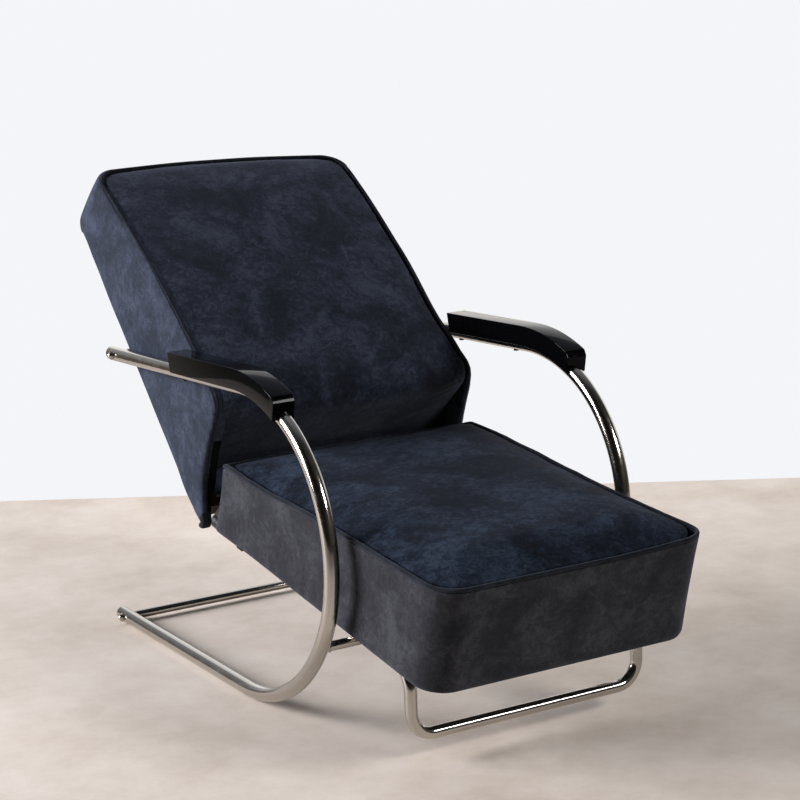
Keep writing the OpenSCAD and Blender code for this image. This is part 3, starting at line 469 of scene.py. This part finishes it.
# %% Arm pads
pad_w, pad_h, pad_lean = 39.0, 35.0, 10.0
pad_inner_x, nose_slope, edge_bevel = 259.5, 7.5, 2.6
pad_x = pad_inner_x + pad_w / 2
pad_front = on_circle(arm_c, arm_r, arm_deg - 28.0)
pad_rear = (arm_end[0] - 283.0 * arm_dir[0], arm_end[1] - 283.0 * arm_dir[1])


def cut(obj, at, normal):
    """Removes what lies on the normal's side of a plane and closes the cut."""
    only(obj)
    bpy.ops.object.mode_set(mode="EDIT")
    bpy.ops.mesh.select_all(action="SELECT")
    bpy.ops.mesh.bisect(plane_co=at, plane_no=normal, use_fill=True, clear_outer=True)
    bpy.ops.object.mode_set(mode="OBJECT")


def slope_nose(obj):
    """Cuts a broad slope on the upper edge of a pad's front end, where the hand lies."""
    bpy.ops.object.mode_set(mode="EDIT")
    bpy.ops.mesh.select_mode(type="EDGE")
    bpy.ops.mesh.select_all(action="DESELECT")
    mesh = bmesh.from_edit_mesh(obj.data)
    tilt = radians(pad_lean)

    def on_nose(co):
        y, z = co.y / mm, co.z / mm
        off = (y - pad_front[0]) * cos(tilt) + (z - pad_front[1]) * sin(tilt)
        return abs(off) < 0.05 and hypot(y - arm_c[0], z - arm_c[1]) > arm_r + 0.8 * pad_h

    for e in mesh.edges:
        e.select_set(on_nose(e.verts[0].co) and on_nose(e.verts[1].co))
    bmesh.update_edit_mesh(obj.data)
    bpy.ops.mesh.bevel(offset=nose_slope * mm, offset_type="OFFSET", segments=1, affect="EDGES")
    bpy.ops.object.mode_set(mode="OBJECT")


def groove_cutter(x, r):
    return tube("groove", r, (x, arm_end[0], arm_end[1]), (radians(90 - 2.6), 0, 0),
                [("run", (0, -arm_len * arm_dir[0], -arm_len * arm_dir[1])),
                 ("bend", (x, arm_c[0], arm_c[1]), (1, 0, 0), 60.0)])


for side, name in ((-1, "right"), (1, "left")):
    x = side * pad_x
    start()
    rear = (pad_rear[0] + 12.0 * arm_dir[0], pad_rear[1] + 12.0 * arm_dir[1])
    bpy.ops.mesh.primitive_plane_add(size=1, location=Vector((x, rear[0], rear[1])) * mm,
                                     rotation=(radians(90 - 2.6), 0, 0))
    obj = bpy.context.object
    obj.scale = (pad_w * mm, pad_h * mm, 1)
    bpy.ops.object.transform_apply(location=True, rotation=True, scale=True)
    bpy.ops.object.mode_set(mode="EDIT")
    bpy.ops.mesh.select_all(action="SELECT")
    up = Vector((0, sin(radians(2.6)), cos(radians(2.6)))) * pad_h / 2 * mm
    bpy.ops.transform.translate(value=up)
    run = hypot(rear[0] - arm_start[0], rear[1] - arm_start[1])
    bpy.ops.mesh.extrude_region_move(TRANSFORM_OT_translate={
        "value": Vector((0, -run * arm_dir[0], -run * arm_dir[1])) * mm})
    bpy.ops.mesh.spin(steps=13, use_auto_merge=False, angle=spin_sign * radians(38.0),
                      center=Vector((x, arm_c[0], arm_c[1])) * mm, axis=(1, 0, 0))
    bpy.ops.object.mode_set(mode="OBJECT")
    by_distance(obj)
    tilt = radians(pad_lean + 2.6)
    cut(obj, Vector((x, pad_rear[0], pad_rear[1])) * mm, (0, cos(tilt), -sin(tilt)))
    tilt = radians(pad_lean)
    cut(obj, Vector((x, pad_front[0], pad_front[1])) * mm, (0, -cos(tilt), -sin(tilt)))
    slope_nose(obj)
    edges = obj.modifiers.new("broken edges", "BEVEL")
    edges.width = edge_bevel * mm
    edges.segments = 4
    edges.limit_method = "ANGLE"
    edges.angle_limit = radians(24)
    edges.harden_normals = False
    apply_all(obj)
    cutter = groove_cutter(side * half_span, tube_r + 0.25)
    slot_cut = obj.modifiers.new("groove", "BOOLEAN")
    slot_cut.operation = "DIFFERENCE"
    slot_cut.solver = "EXACT"
    slot_cut.object = cutter
    apply_all(obj)
    bpy.data.objects.remove(cutter)
    done(obj, "lacquered_arm_pad_" + name, "frame", lacquer, ["arm_pad_" + name],
         35)

# %% [markdown]
# ## Cloth walls laid over the blocks
# The padded walls of seat and back are cloth over wadding and board. Each is laid out as a
# flat grid, the way a cutter lays out the strip of cloth, and every grid point is carried to
# its place round the block. Thickness goes to one side of the grid: into the block on the seat,
# and out of it on the back, whose grid faces the other way.

# %% Strip layer
def smooth_noise(p, scale):
    return noise.noise(p * scale)


def lay_strip(name, along, across, place, closed, thickness):
    """place(i, j) gives the point for share i along the strip and share j across it."""
    start()
    bpy.ops.mesh.primitive_grid_add(x_subdivisions=along, y_subdivisions=across, size=1)
    obj = bpy.context.object
    for v in obj.data.vertices:
        v.co = place(v.co.x + 0.5, v.co.y + 0.5)
    if closed:
        by_distance(obj, 0.0002)
    wall = obj.modifiers.new("wadding", "SOLIDIFY")
    wall.thickness = thickness * mm
    wall.offset = -1.0
    wall.use_even_offset = False
    apply_all(obj)
    return obj


def rounded(w, y0, y1, rf, rb, share):
    """Point and outward direction on a rounded rectangle, going round once by its length."""
    arcs = [(w - rb, y1 - rb, rb, 0), (rb - w, y1 - rb, rb, 90), (rf - w, y0 + rf, rf, 180),
            (w - rf, y0 + rf, rf, 270)]
    ends = [((w - rb, y1), (rb - w, y1)), ((-w, y1 - rb), (-w, y0 + rf)),
            ((rf - w, y0), (w - rf, y0)), ((w, y0 + rf), (w, y1 - rb))]
    parts = []
    for (cx, cy, r, a), (p, q) in zip(arcs, ends):
        parts.append(("arc", r * pi / 2, cx, cy, r, a))
        parts.append(("line", hypot(q[0] - p[0], q[1] - p[1]), p, q, a + 90))
    total = sum(p[1] for p in parts)
    at = (share % 1.0) * total
    for part in parts:
        if at <= part[1]:
            break
        at -= part[1]
    if part[0] == "arc":
        a = radians(part[5] + 90 * at / part[1])
        return part[2] + part[4] * cos(a), part[3] + part[4] * sin(a), cos(a), sin(a)
    t = at / part[1]
    a = radians(part[4])
    return (part[2][0] + (part[3][0] - part[2][0]) * t,
            part[2][1] + (part[3][1] - part[2][1]) * t, cos(a), sin(a))


# %% [markdown]
# ### The seat's wall
# The seat is a sheared block: its top lies further forward than its underside, so its front
# and rear walls lean. The wall is drawn in a little at half height, and its top edge sags
# where a sitter has pulled it down, a hand's width in front of the rear corners.

# %% Seat wall
seat_n, seat_half = 28.5, 247.0
front_len, rear_len, front_lean, rear_lean = 265.0, 433.0, 19.0, 22.0
front_h, rear_h = 183.0, 130.0
seat_front_r, seat_rear_r = 50.0, 14.0
height_run, welt_r = 680.0, 4.5
# Sag of the two side edges in millimetres, by share of the way from the rear to the front
near_sag = [(0.0, 2.0), (0.06, 4.0), (0.15, 7.6), (0.25, 8.6), (0.36, 6.0), (0.49, 4.6),
            (0.65, 5.6), (0.79, 8.0), (0.92, 9.5), (1.0, 11.0)]
far_sag = [(0.0, 0.0), (0.15, -1.6), (0.3, 0.4), (0.45, 4.6), (0.6, 7.0), (0.78, 7.4),
           (0.92, 6.0), (1.0, 5.0)]
front_sag = [(-247.0, 11.0), (60.0, 11.0), (180.0, 8.0), (247.0, 5.0)]


def table_value(table, t):
    t = min(max(t, table[0][0]), table[-1][0])
    for (a, va), (b, vb) in zip(table, table[1:]):
        if t <= b:
            k = (t - a) / (b - a)
            k = k * k * (3 - 2 * k)
            return va + (vb - va) * k
    return table[-1][1]


def seat_height(s):
    return front_h + (rear_h - front_h) * (s + front_len) / height_run


def seat_sag(x, s):
    """How far the top edge hangs under its straight line."""
    rear_edge = rear_len - rear_lean
    t = (rear_edge - s) / (rear_edge + front_len + front_lean)
    side_share = min(1.0, max(0.0, (abs(x) - 150.0) / 90.0))
    # Along the rear the cushion has pushed its edge down
    pushed = max(0.0, 1.0 - (rear_edge - s) / 26.0)
    front_share = min(1.0, max(0.0, (t - 0.86) / 0.11)) * (1.0 - side_share)
    return (table_value(near_sag if x < 0 else far_sag, t) * side_share
            + table_value(front_sag, x) * front_share + 9.0 * pushed ** 1.5)


def seat_wall_point(i, j):
    t = j
    # The wall's lower edge is rolled under by a few millimetres
    roll = 4.0 * max(0.0, 1.0 - t / 0.05) ** 2
    x, s, ox, oy = rounded(seat_half, -front_len - front_lean * t, rear_len - rear_lean * t,
                           seat_front_r, seat_rear_r, i)
    full = seat_height(s) - seat_sag(x, s)
    # The lower edge hangs a little towards the rear, where the base cloth has given way
    slack = 3.0 * max(0.0, min(1.0, (s - 300.0) / 110.0)) * (1.0 - t)
    n = seat_n + t * (full - welt_r) - slack
    draw = 2.4 * sin(pi * t) * abs(ox) + roll
    lumps = 0.9 * smooth_noise(Vector((x, s, n)), 0.012) * sin(pi * t)
    x, s = x - ox * (draw - lumps), s - oy * (0.6 * draw - lumps)
    return on_seat(x, s, n)


obj = lay_strip("seat_wall", 260, 26, seat_wall_point, True, 5.5)
done(obj, "seat_cloth_wall", "seat", bounce_lit_side_cover, ["seat_border"])

# %% [markdown]
# ### The back's side and top panels
# One strip runs up the sitter's right side, over the top and down the left. Across its width
# it goes from the rear edge, which is rolled over the board, to the front edge under the
# piping. On each side it is kite-shaped, and its lower tips hang down beside the seat.

# %% Back panels
back_half, back_len = 256.0, 669.0
low_t, top_t, bulge, ridge_u = 216.0, 117.0, 15.0, 118.0
corner_r, top_rear_r = 40.0, 10.0


def front_v(u):
    t = (u - ridge_u) / (back_len - ridge_u)
    return low_t - (low_t - top_t) * t + 4 * bulge * t * (1 - t)


# Front edge of a side panel from its tip round the small of the back, as (u, v) in mm
wing = [(-4.0, 0.0), (-11.0, 3.0), (-13.5, 9.0), (-11.0, 16.0), (2.0, 29.0), (15.0, 43.0),
        (30.0, 62.0), (44.0, 82.0), (57.0, 104.0), (68.0, 127.0), (77.0, 150.0), (83.5, 172.0),
        (89.0, 190.0), (96.0, 203.5), (106.0, 212.5)]
front_line = list(wing)
front_line += [(ridge_u + t * (back_len - ridge_u), front_v(ridge_u + t * (back_len - ridge_u)))
               for t in [0.03 * k for k in range(0, 34)] + [1.0]]
tip_run = 30.0
# How far the cover pulls the far front edge outward, by height
far_pull = [(60.0, 8.0), (105.0, 6.0), (150.0, 0.0), (230.0, -6.0), (400.0, 0.5), (600.0, 6.0),
            (670.0, 4.0)]
# How far the rear edge of a side comes forward, by height
rear_lift = [(-14.0, 10.0), (30.0, 6.0), (80.0, 3.5), (400.0, 2.5), (480.0, 0.5), (560.0, 2.5),
             (600.0, 4.5), (640.0, 3.0)]


def pulled(x, u, v):
    """The stretched cover pulls the front edges a little to the sitter's right."""
    w = min(1.0, max(0.0, v / 200.0))
    far_share = max(0.0, x / 256.0) ** 2
    return on_back(x * (1.0 - 0.018 * w) - 4.5 * w + table_value(far_pull, u) * far_share * w,
                   u, v - x / 256.0 * 7.0 * w)


def walk(line):
    """Running lengths along a line of points."""
    out = [0.0]
    for p, q in zip(line, line[1:]):
        out.append(out[-1] + hypot(q[0] - p[0], q[1] - p[1]))
    return out


# Two rounds of averaging take the corners off the line
for again in range(2):
    inner = [((a[0] + 2 * b[0] + c[0]) / 4, (a[1] + 2 * b[1] + c[1]) / 4)
             for a, b, c in zip(front_line, front_line[1:], front_line[2:])]
    front_line = [front_line[0]] + inner + [front_line[-1]]
front_len_at = walk(front_line)


def front_at(d):
    """Point and forward normal of the front line at distance d from the tip."""
    d = min(max(d, 0.0), front_len_at[-1])
    for k in range(len(front_line) - 1):
        if d <= front_len_at[k + 1]:
            break
    p, q = front_line[k], front_line[k + 1]
    l = front_len_at[k + 1] - front_len_at[k]
    t = (d - front_len_at[k]) / l
    return (p[0] + (q[0] - p[0]) * t, p[1] + (q[1] - p[1]) * t,
            -(q[1] - p[1]) / l, (q[0] - p[0]) / l)


side_run = front_len_at[-1] - corner_r
arc_run = corner_r * pi / 2
top_run = 2 * (back_half - corner_r)
path_run = 2 * side_run + 2 * arc_run + top_run


def back_path(share):
    """(x, u of the outline, front distance, outward x, outward u) round the back's outline."""
    d = share * path_run
    mirrored = d > path_run / 2
    if mirrored:
        d = path_run - d
    if d < side_run:
        x, ox, ou, along = -back_half, -1.0, 0.0, d
        u = None
    elif d < side_run + arc_run:
        a = (d - side_run) / arc_run * pi / 2
        x = corner_r - back_half - corner_r * cos(a)
        u = back_len - corner_r + corner_r * sin(a)
        ox, ou, along = -cos(a), sin(a), front_len_at[-1] - (back_len - u)
    else:
        x, u, ox, ou = corner_r - back_half + d - side_run - arc_run, back_len, 0.0, 1.0
        along = front_len_at[-1]
    if mirrored:
        x, ox = -x, -ox
    return x, u, along, ox, ou


# The fold is deepest below the small of the back, where it closes the gap beside the seat
lower_fold = [(10.0, 0.0), (38.0, 1.0), (84.0, 1.0), (100.0, 0.0)]


def top_crown(x):
    """The top edge bows up between its two corners."""
    return 8.0 * max(0.0, 1.0 - (x / 235.0) ** 2) - 4.0 * x / 256.0


def back_panel_point(i, j):
    x, u, along, ox, ou = back_path(i)
    fu, fv, nu, nv = front_at(along)
    # The rear edge is rolled: wide over the top, narrow down the sides
    roll = 6.0 + (top_rear_r - 6.0) * ou
    # Rear end of this line of cloth, spread evenly from the tip to the top
    low = min(1.0, along / (front_len_at[-1] * 0.5))
    ru = fu if low >= 1.0 else (fu + 4.0) * low - 4.0
    crown = top_crown(x) * ou
    under = 2.5 * min(1.0, along / tip_run)
    # The rear edge comes forward a little, most of all at the tip
    lift = table_value(rear_lift, ru)
    if u is None:
        rear, front = (ru, min(lift, 0.6 * fv)), (fu - nu * under, fv - nv * under)
    else:
        rear, front = (u + 0.6 * crown + 5.0 * ou, 0.0), (u + crown, fv - under)
    reach = max(0.5, hypot(front[0] - rear[0], front[1] - rear[1]))
    # The front edge is folded in by the thickness of the padding
    fold = 5.0
    if u is None:
        fold = 12.0 + 9.0 * table_value(lower_fold, fu) if x < 0 else 6.0
    fold_at = min(2.0, reach * 0.3)
    r = min(roll, reach * 0.45)
    flat_run = reach - r - fold_at
    total = r * pi / 2 + flat_run + fold_at * pi / 2 + fold - fold_at
    d = j * total
    if d < r * pi / 2:
        a = d / r
        inset, t = r - r * sin(a), (r - r * cos(a)) / reach
    elif d < r * pi / 2 + flat_run:
        inset, t = 0.0, (d - r * pi / 2 + r) / reach
    elif d < total - fold + fold_at:
        a = (d - r * pi / 2 - flat_run) / fold_at
        inset, t = fold_at * (1 - cos(a)), (reach - fold_at + fold_at * sin(a)) / reach
    else:
        inset, t = fold_at + d - (total - fold + fold_at), 1.0
    pu, pv = rear[0] + (front[0] - rear[0]) * t, rear[1] + (front[1] - rear[1]) * t
    swell = 1.5 * sin(pi * min(1.0, t)) * min(1.0, reach / 80.0)
    if u is None and pu < 110.0:
        swell += 2.5 * sin(pi * min(1.0, max(0.0, (pu + 14.0) / 124.0)))
    lump = 0.5 * smooth_noise(Vector((x, pu, pv)), 0.011) * min(1.0, reach / 60.0)
    out = swell + lump - inset
    return pulled(x + ox * out, pu + ou * out, pv)


obj = lay_strip("back_panels", 380, 36, back_panel_point, False, 4.5)
done(obj, "back_cloth_sides", "back", painted_light_flank_cover, ["back_border"])
# Painted shade: on the sitter's right the turned-in edge low down is given a near-black copy of
# the cloth, where the fold lies in shade, and the bottom hem is bound with the welt's darker cloth
hem_u, painted_shade_x, painted_shade_u = 3.0, -253.2, 72.0
obj.data.materials.append(painted_shade_cloth)
obj.data.materials.append(shaded_welt_cloth)
shaded_faces = 0
for f in obj.data.polygons:
    along = back_of(f.center)[1]
    if along < hem_u:
        f.material_index = 2
    elif painted_shade_x * mm < f.center.x < 0 and along < painted_shade_u:
        f.material_index = 1
        shaded_faces += 1
print("painted shade faces", shaded_faces)

# %% [markdown]
# ## The cushions
# Both cushions are foam under a tight cover. The solid's copy is remeshed to small even
# squares, shrunk a little, and swelled again as cloth under air pressure with its rim held,
# so the cover pulls over the edges as a real one does. A cap keeps the swelling small.

# %% Cushion maker
def swollen(source, voxel, held, cap, shrink=0.002):
    """A copy of a solid, swelled by a cloth simulation. held(co) is true at the rim."""
    start()
    obj = source.copy()
    obj.data = source.data.copy()
    obj.parent = None
    for key in list(obj.keys()):
        del obj[key]
    bpy.context.scene.collection.objects.link(obj)
    by_distance(obj)
    only(obj)
    obj.data.remesh_voxel_size = voxel
    bpy.ops.object.voxel_remesh()
    relax = obj.modifiers.new("relax", "SMOOTH")
    relax.factor = 0.5
    relax.iterations = 4
    apply_all(obj)
    bpy.ops.object.mode_set(mode="EDIT")
    bpy.ops.mesh.select_all(action="SELECT")
    bpy.ops.transform.shrink_fatten(value=-shrink)
    bpy.ops.object.mode_set(mode="OBJECT")
    before = [v.co.copy() for v in obj.data.vertices]
    rim = obj.vertex_groups.new(name="rim")
    rim.add([v.index for v in obj.data.vertices if held(v.co)], 1.0, "REPLACE")
    cloth = obj.modifiers.new("swell", "CLOTH")
    cloth.settings.quality = 5
    cloth.settings.mass = 0.3
    cloth.settings.tension_stiffness = 12
    cloth.settings.compression_stiffness = 12
    cloth.settings.bending_stiffness = 0.6
    cloth.settings.use_pressure = True
    cloth.settings.uniform_pressure_force = 4.0
    cloth.settings.vertex_group_mass = "rim"
    cloth.settings.effector_weights.gravity = 0
    cloth.point_cache.frame_start = 1
    cloth.point_cache.frame_end = 20
    for f in range(1, 21):
        bpy.context.scene.frame_set(f)
    apply_all(obj)
    bpy.context.scene.frame_set(1)
    for v, b in zip(obj.data.vertices, before):
        move = v.co - b
        if move.length > 1e-6:
            v.co = b + move.normalized() * cap * (1 - 2.718 ** (-move.length / cap))
    obj.vertex_groups.clear()
    fine = obj.modifiers.new("fine", "SUBSURF")
    fine.levels = 1
    fine.render_levels = 1
    apply_all(obj)
    return obj


def seat_rim(co):
    x, s, n = seat_of(co)
    return n < seat_n + seat_height(s) + 2.0


obj = swollen(nodes["seat_cushion"], 0.006, seat_rim, 0.006)
for v in obj.data.vertices:
    x, s, n = seat_of(v.co)
    v.co = v.co - on_seat(0, 0, seat_sag(x, s)) + on_seat(0, 0, 0)
done(obj, "seat_cushion_cover", "seat", painted_shade_seat_cover, ["seat_cushion"], 60)

# %% [markdown]
# The back's cushion is one long pad: it starts under the piping at the top, comes down the
# front, rounds the small of the back and runs back under it to close the pocket for the seat.
# It is a sheet of foam bent over the frame, so it is laid as a sheet, given thickness, and
# swelled in the same way as the seat.

# %% Back cushion
foam_half, foam_top, fold_r, under_u, under_v = 250.0, 663.0, 27.0, 93.0, 10.0
foam_corner, foam_t = 36.0, 0.030
fold_u = under_u + fold_r
fold_v = front_v(fold_u) - fold_r
foam_line = [(foam_top + (fold_u - foam_top) * k / 60, 0.0) for k in range(61)]
foam_line = [(u, front_v(u)) for u, v in foam_line]
foam_line += [(fold_u - fold_r * sin(radians(6 * k)), fold_v + fold_r * cos(radians(6 * k)))
              for k in range(1, 16)]
foam_line += [(under_u, fold_v + (under_v - fold_v) * k / 20) for k in range(1, 21)]
foam_at = walk(foam_line)


def foam_point(i, j):
    d = j * foam_at[-1]
    k = 0
    while k < len(foam_line) - 2 and d > foam_at[k + 1]:
        k += 1
    p, q = foam_line[k], foam_line[k + 1]
    l = foam_at[k + 1] - foam_at[k]
    t = (d - foam_at[k]) / l
    u, v = p[0] + (q[0] - p[0]) * t, p[1] + (q[1] - p[1]) * t
    nu, nv = -(q[1] - p[1]) / l, (q[0] - p[0]) / l
    if nv < 0 or nu > 0.5:
        nu, nv = -nu, -nv
    # The two top corners are rounded like the panel round them
    x = (2 * i - 1) * foam_half
    corner = max(0.0, u - (foam_top - foam_corner)) / foam_corner
    x *= 1.0 - (foam_corner / foam_half) * (1.0 - sqrt(max(0.0, 1.0 - corner * corner)))
    u += top_crown(x) * max(0.0, 1.0 - (foam_top - u) / 200.0)
    # The crown: nothing at the seams, full a hand's width inside them
    side = 1.0 - abs(2 * i - 1) ** 4
    top = min(1.0, d / 90.0)
    rear = min(1.0, (foam_at[-1] - d) / 160.0)
    swell = 15.0 * sqrt(max(0.0, side)) * sqrt(1.0 - (1.0 - top) ** 2) * rear
    swell += 1.6 * smooth_noise(Vector((x, u, v)), 0.009) * side * top
    return pulled(x, u + nu * swell, v + nv * swell)


def back_rim(co):
    x, u, v = back_of(co)
    return x < -240.0 or x > 232.0 or u > 645.0 or v < 50.0


start()
bpy.ops.mesh.primitive_grid_add(x_subdivisions=90, y_subdivisions=150, size=1)
sheet = bpy.context.object
for v in sheet.data.vertices:
    v.co = foam_point(v.co.x + 0.5, 0.5 - v.co.y)
only(sheet)
bpy.ops.object.mode_set(mode="EDIT")
bpy.ops.mesh.select_all(action="SELECT")
bpy.ops.mesh.normals_make_consistent(inside=False)
bpy.ops.object.mode_set(mode="OBJECT")
outward = sheet.data.polygons[len(sheet.data.polygons) // 2].normal
foam = sheet.modifiers.new("foam", "SOLIDIFY")
foam.thickness = foam_t
foam.offset = -1.0 if outward.dot(on_back(0, 0, 1) - on_back(0, 0, 0)) > 0 else 1.0
apply_all(sheet)
by_distance(sheet)
obj = swollen(sheet, 0.006, back_rim, 0.006)
bpy.data.objects.remove(sheet)
done(obj, "back_cushion_cover", "back", cover, ["back_cushion", "back_foot_panel"],
     60)

# %% [markdown]
# ## The piping
# A cord wrapped in bias-cut cloth is sewn into the seam. It is a round sweep that follows the
# edge of each block, so a curve with a bevel is right here. It wanders by a few tenths of a
# millimetre, because it was sewn by hand.

# %% Piping maker
def piping(name, points, closed, r, body, replaced):
    start()
    curve = bpy.data.curves.new(name, "CURVE")
    curve.dimensions = "3D"
    line = curve.splines.new("POLY")
    line.points.add(len(points) - 1)
    for k, p in enumerate(points):
        line.points[k].co = (p.x, p.y, p.z, 1)
        line.points[k].radius = 1.0 + 0.05 * smooth_noise(p, 60.0)
    line.use_cyclic_u = closed
    curve.bevel_depth = r * mm
    curve.bevel_resolution = 5
    curve.use_fill_caps = True
    obj = bpy.data.objects.new(name, curve)
    bpy.context.scene.collection.objects.link(obj)
    only(obj)
    bpy.ops.object.convert(target="MESH")
    obj = bpy.context.object
    by_distance(obj)
    return done(obj, name, body, shaded_welt_cloth, replaced, 60)


inset = welt_r - 1.2
points = []
for k in range(420):
    x, s, ox, oy = rounded(seat_half - inset, inset - front_len - front_lean,
                           rear_len - rear_lean - inset, seat_front_r - inset,
                           seat_rear_r - inset, k / 420)
    wander = 0.35 * smooth_noise(Vector((x, s, 7.0)), 0.03)
    points.append(on_seat(x + ox * wander, s + oy * wander,
                          seat_n + seat_height(s) - seat_sag(x, s) + wander))
piping("seat_piping_cord", points, True, 3.7, "seat", ["seat_piping"])

points = []
for k in range(4, 597):
    x, u, along, ox, ou = back_path(k / 600)
    fu, fv, nu, nv = front_at(along)
    out = -3.0
    if u is None and fu < 110.0:
        out += 2.5 * sin(pi * min(1.0, max(0.0, (fu + 14.0) / 124.0)))
    fu = fu if u is None else u + top_crown(x) * ou + ou * out
    x += ox * out
    wander = 0.3 * smooth_noise(Vector((x, fu, fv)), 0.03)
    points.append(pulled(x + ox * wander, fu + 0.5 * nu, fv + 0.5 * nv + wander))
piping("back_piping_cord", points, False, 2.9, "back", ["back_piping"])

# %% [markdown]
# ## Floor and light
# A plain pale floor of fine screed carries the chair. Its far edge lies behind the chair, where
# a white room begins. Away from the chair the floor's colour is painted darker, as painted
# shade of the room, and the chrome has that to mirror.

# %% Floor
floor_mat = new_material("pale_screed", Base_Color=linear("#b5a698"), Roughness=0.7)
at = add(floor_mat, "TexCoord")
patches = add(floor_mat, "TexNoise", [("Vector", at, "Object")], Scale=3.2, Detail=10.0,
              Roughness=0.7)
tone = add(floor_mat, "ValToRGB", [("Fac", patches, "Fac")],
           ramp=[(0.34, linear("#c4b6a8")), (0.5, linear("#d3c7ba")), (0.68, linear("#e0d6cb"))])
# Painted shade: far from the chair the floor's colour is darkened, as the room would shade it
shifted = add(floor_mat, "Mapping", [("Vector", at, "Object")], Location=(-0.35, -0.6, 0.0))
away = add(floor_mat, "VectorMath", [("Vector", shifted, "Vector")], operation="LENGTH")
shade = add(floor_mat, "ValToRGB", ramp=[(0.0, (1, 1, 1, 1)), (1.0, (0.36, 0.35, 0.34, 1))])
reach = add(floor_mat, "MapRange", [("Value", away, "Value")], From_Min=1.35, From_Max=2.6)
floor_mat.node_tree.links.new(reach.outputs["Result"], shade.inputs["Fac"])
shaded_floor_tone = add(floor_mat, "Mix", data_type="RGBA", blend_type="MULTIPLY")
shaded_floor_tone.inputs[0].default_value = 1.0
floor_mat.node_tree.links.new(tone.outputs["Color"], shaded_floor_tone.inputs[6])
floor_mat.node_tree.links.new(shade.outputs["Color"], shaded_floor_tone.inputs[7])
floor_mat.node_tree.links.new(shaded_floor_tone.outputs[2],
                              floor_mat.node_tree.nodes["Principled BSDF"].inputs["Base Color"])
grit = add(floor_mat, "TexNoise", [("Vector", at, "Object")], Scale=90.0, Detail=6.0,
           Roughness=0.7)
bump = add(floor_mat, "Bump", [("Height", grit, "Fac")], Strength=0.25, Distance=0.001)
feed(floor_mat, "Normal", bump, "Normal")
start()
yaw = radians(31.0)
far = 4.86
bpy.ops.mesh.primitive_plane_add(size=1, rotation=(0, 0, -yaw))
floor = bpy.context.object
floor.scale = (24, 12, 1)
middle = Vector((-1.880, -3.2196, 0)) + Vector((sin(yaw), cos(yaw), 0)) * (far - 6.0)
floor.location = middle + Vector((0, 0, -0.0006))
bpy.ops.object.transform_apply(location=True, rotation=True, scale=True)
floor.name = "floor"
floor.data.materials.append(floor_mat)

# %% [markdown]
# ### The lights
# The photograph was lit from the sitter's right and a little from behind, so the near sides are
# light and the near corner of the seat is dark. A second light stands high in front on the
# other side: it lights the front of the back, leaves its underside dark, and shows as the one
# pale bar on the nose of the arm pad. The white wall throws a little light back on the floor.

# %% Lights
def soft_light(name, at, aim, size, power, colour="#ffffff"):
    start()
    bpy.ops.object.light_add(type="AREA", location=at)
    lamp = bpy.context.object
    lamp.name = name
    lamp.data.shape = "RECTANGLE"
    lamp.data.size, lamp.data.size_y = size
    lamp.data.energy = power
    lamp.data.color = linear(colour)[:3]
    lamp.rotation_euler = (Vector(aim) - Vector(at)).to_track_quat("-Z", "Y").to_euler()
    return lamp


soft_light("window", (-5.3, 2.7, 2.5), (0, 0, 0.4), (3.4, 2.8), 760, "#f8f8ff")
soft_light("softbox", (2.1, -3.8, 3.1), (-0.1, 0, 0.4), (1.7, 1.1), 128, "#fdfcff")
wall = soft_light("wall_bounce", (1.36, 0.65, 0.75), (0.7, -0.5, 0.0), (3.6, 1.1), 8, "#fdfaf6")
wall.visible_camera = False

world = bpy.data.worlds.new("studio")
bpy.context.scene.world = world
world.use_nodes = True
tree = world.node_tree
back_node = tree.nodes["Background"]
seen = tree.nodes.new("ShaderNodeBackground")
seen.inputs["Color"].default_value = linear("#f4f5f8")
seen.inputs["Strength"].default_value = 1.0
coord = tree.nodes.new("ShaderNodeTexCoord")
split = tree.nodes.new("ShaderNodeSeparateXYZ")
tree.links.new(coord.outputs["Generated"], split.inputs[0])


def sky(axis, stops):
    ramp = tree.nodes.new("ShaderNodeValToRGB")
    shift = tree.nodes.new("ShaderNodeMapRange")
    shift.inputs["From Min"].default_value = -1.0
    tree.links.new(split.outputs[axis], shift.inputs["Value"])
    tree.links.new(shift.outputs["Result"], ramp.inputs["Fac"])
    while len(ramp.color_ramp.elements) < len(stops):
        ramp.color_ramp.elements.new(0.5)
    for e, (place, colour) in zip(ramp.color_ramp.elements, stops):
        e.position = place
        e.color = linear(colour)
    return ramp


height_ramp = sky("Z", [(0.0, "#8a8076"), (0.5, "#a39c94"), (0.6, "#c8cacf"), (0.8, "#868a92")])
depth_ramp = sky("Y", [(0.0, "#55514b"), (0.42, "#66625b"), (0.62, "#ececee"), (1.0, "#ffffff")])
side_ramp = sky("X", [(0.0, "#5f5d5a"), (0.28, "#8a8884"), (0.5, "#ffffff"), (1.0, "#ffffff")])


def times(a, b):
    node = tree.nodes.new("ShaderNodeMix")
    node.data_type = "RGBA"
    node.blend_type = "MULTIPLY"
    node.inputs[0].default_value = 1.0
    tree.links.new(a, node.inputs[6])
    tree.links.new(b, node.inputs[7])
    return node.outputs[2]


shaded = times(height_ramp.outputs["Color"], depth_ramp.outputs["Color"])
tree.links.new(times(shaded, side_ramp.outputs["Color"]), back_node.inputs["Color"])
back_node.inputs["Strength"].default_value = 1.25
path = tree.nodes.new("ShaderNodeLightPath")
mix = tree.nodes.new("ShaderNodeMixShader")
tree.links.new(path.outputs["Is Camera Ray"], mix.inputs["Fac"])
tree.links.new(back_node.outputs[0], mix.inputs[1])
tree.links.new(seen.outputs[0], mix.inputs[2])
tree.links.new(mix.outputs[0], tree.nodes["World Output"].inputs["Surface"])
bpy.context.scene.view_settings.view_transform = "Standard"
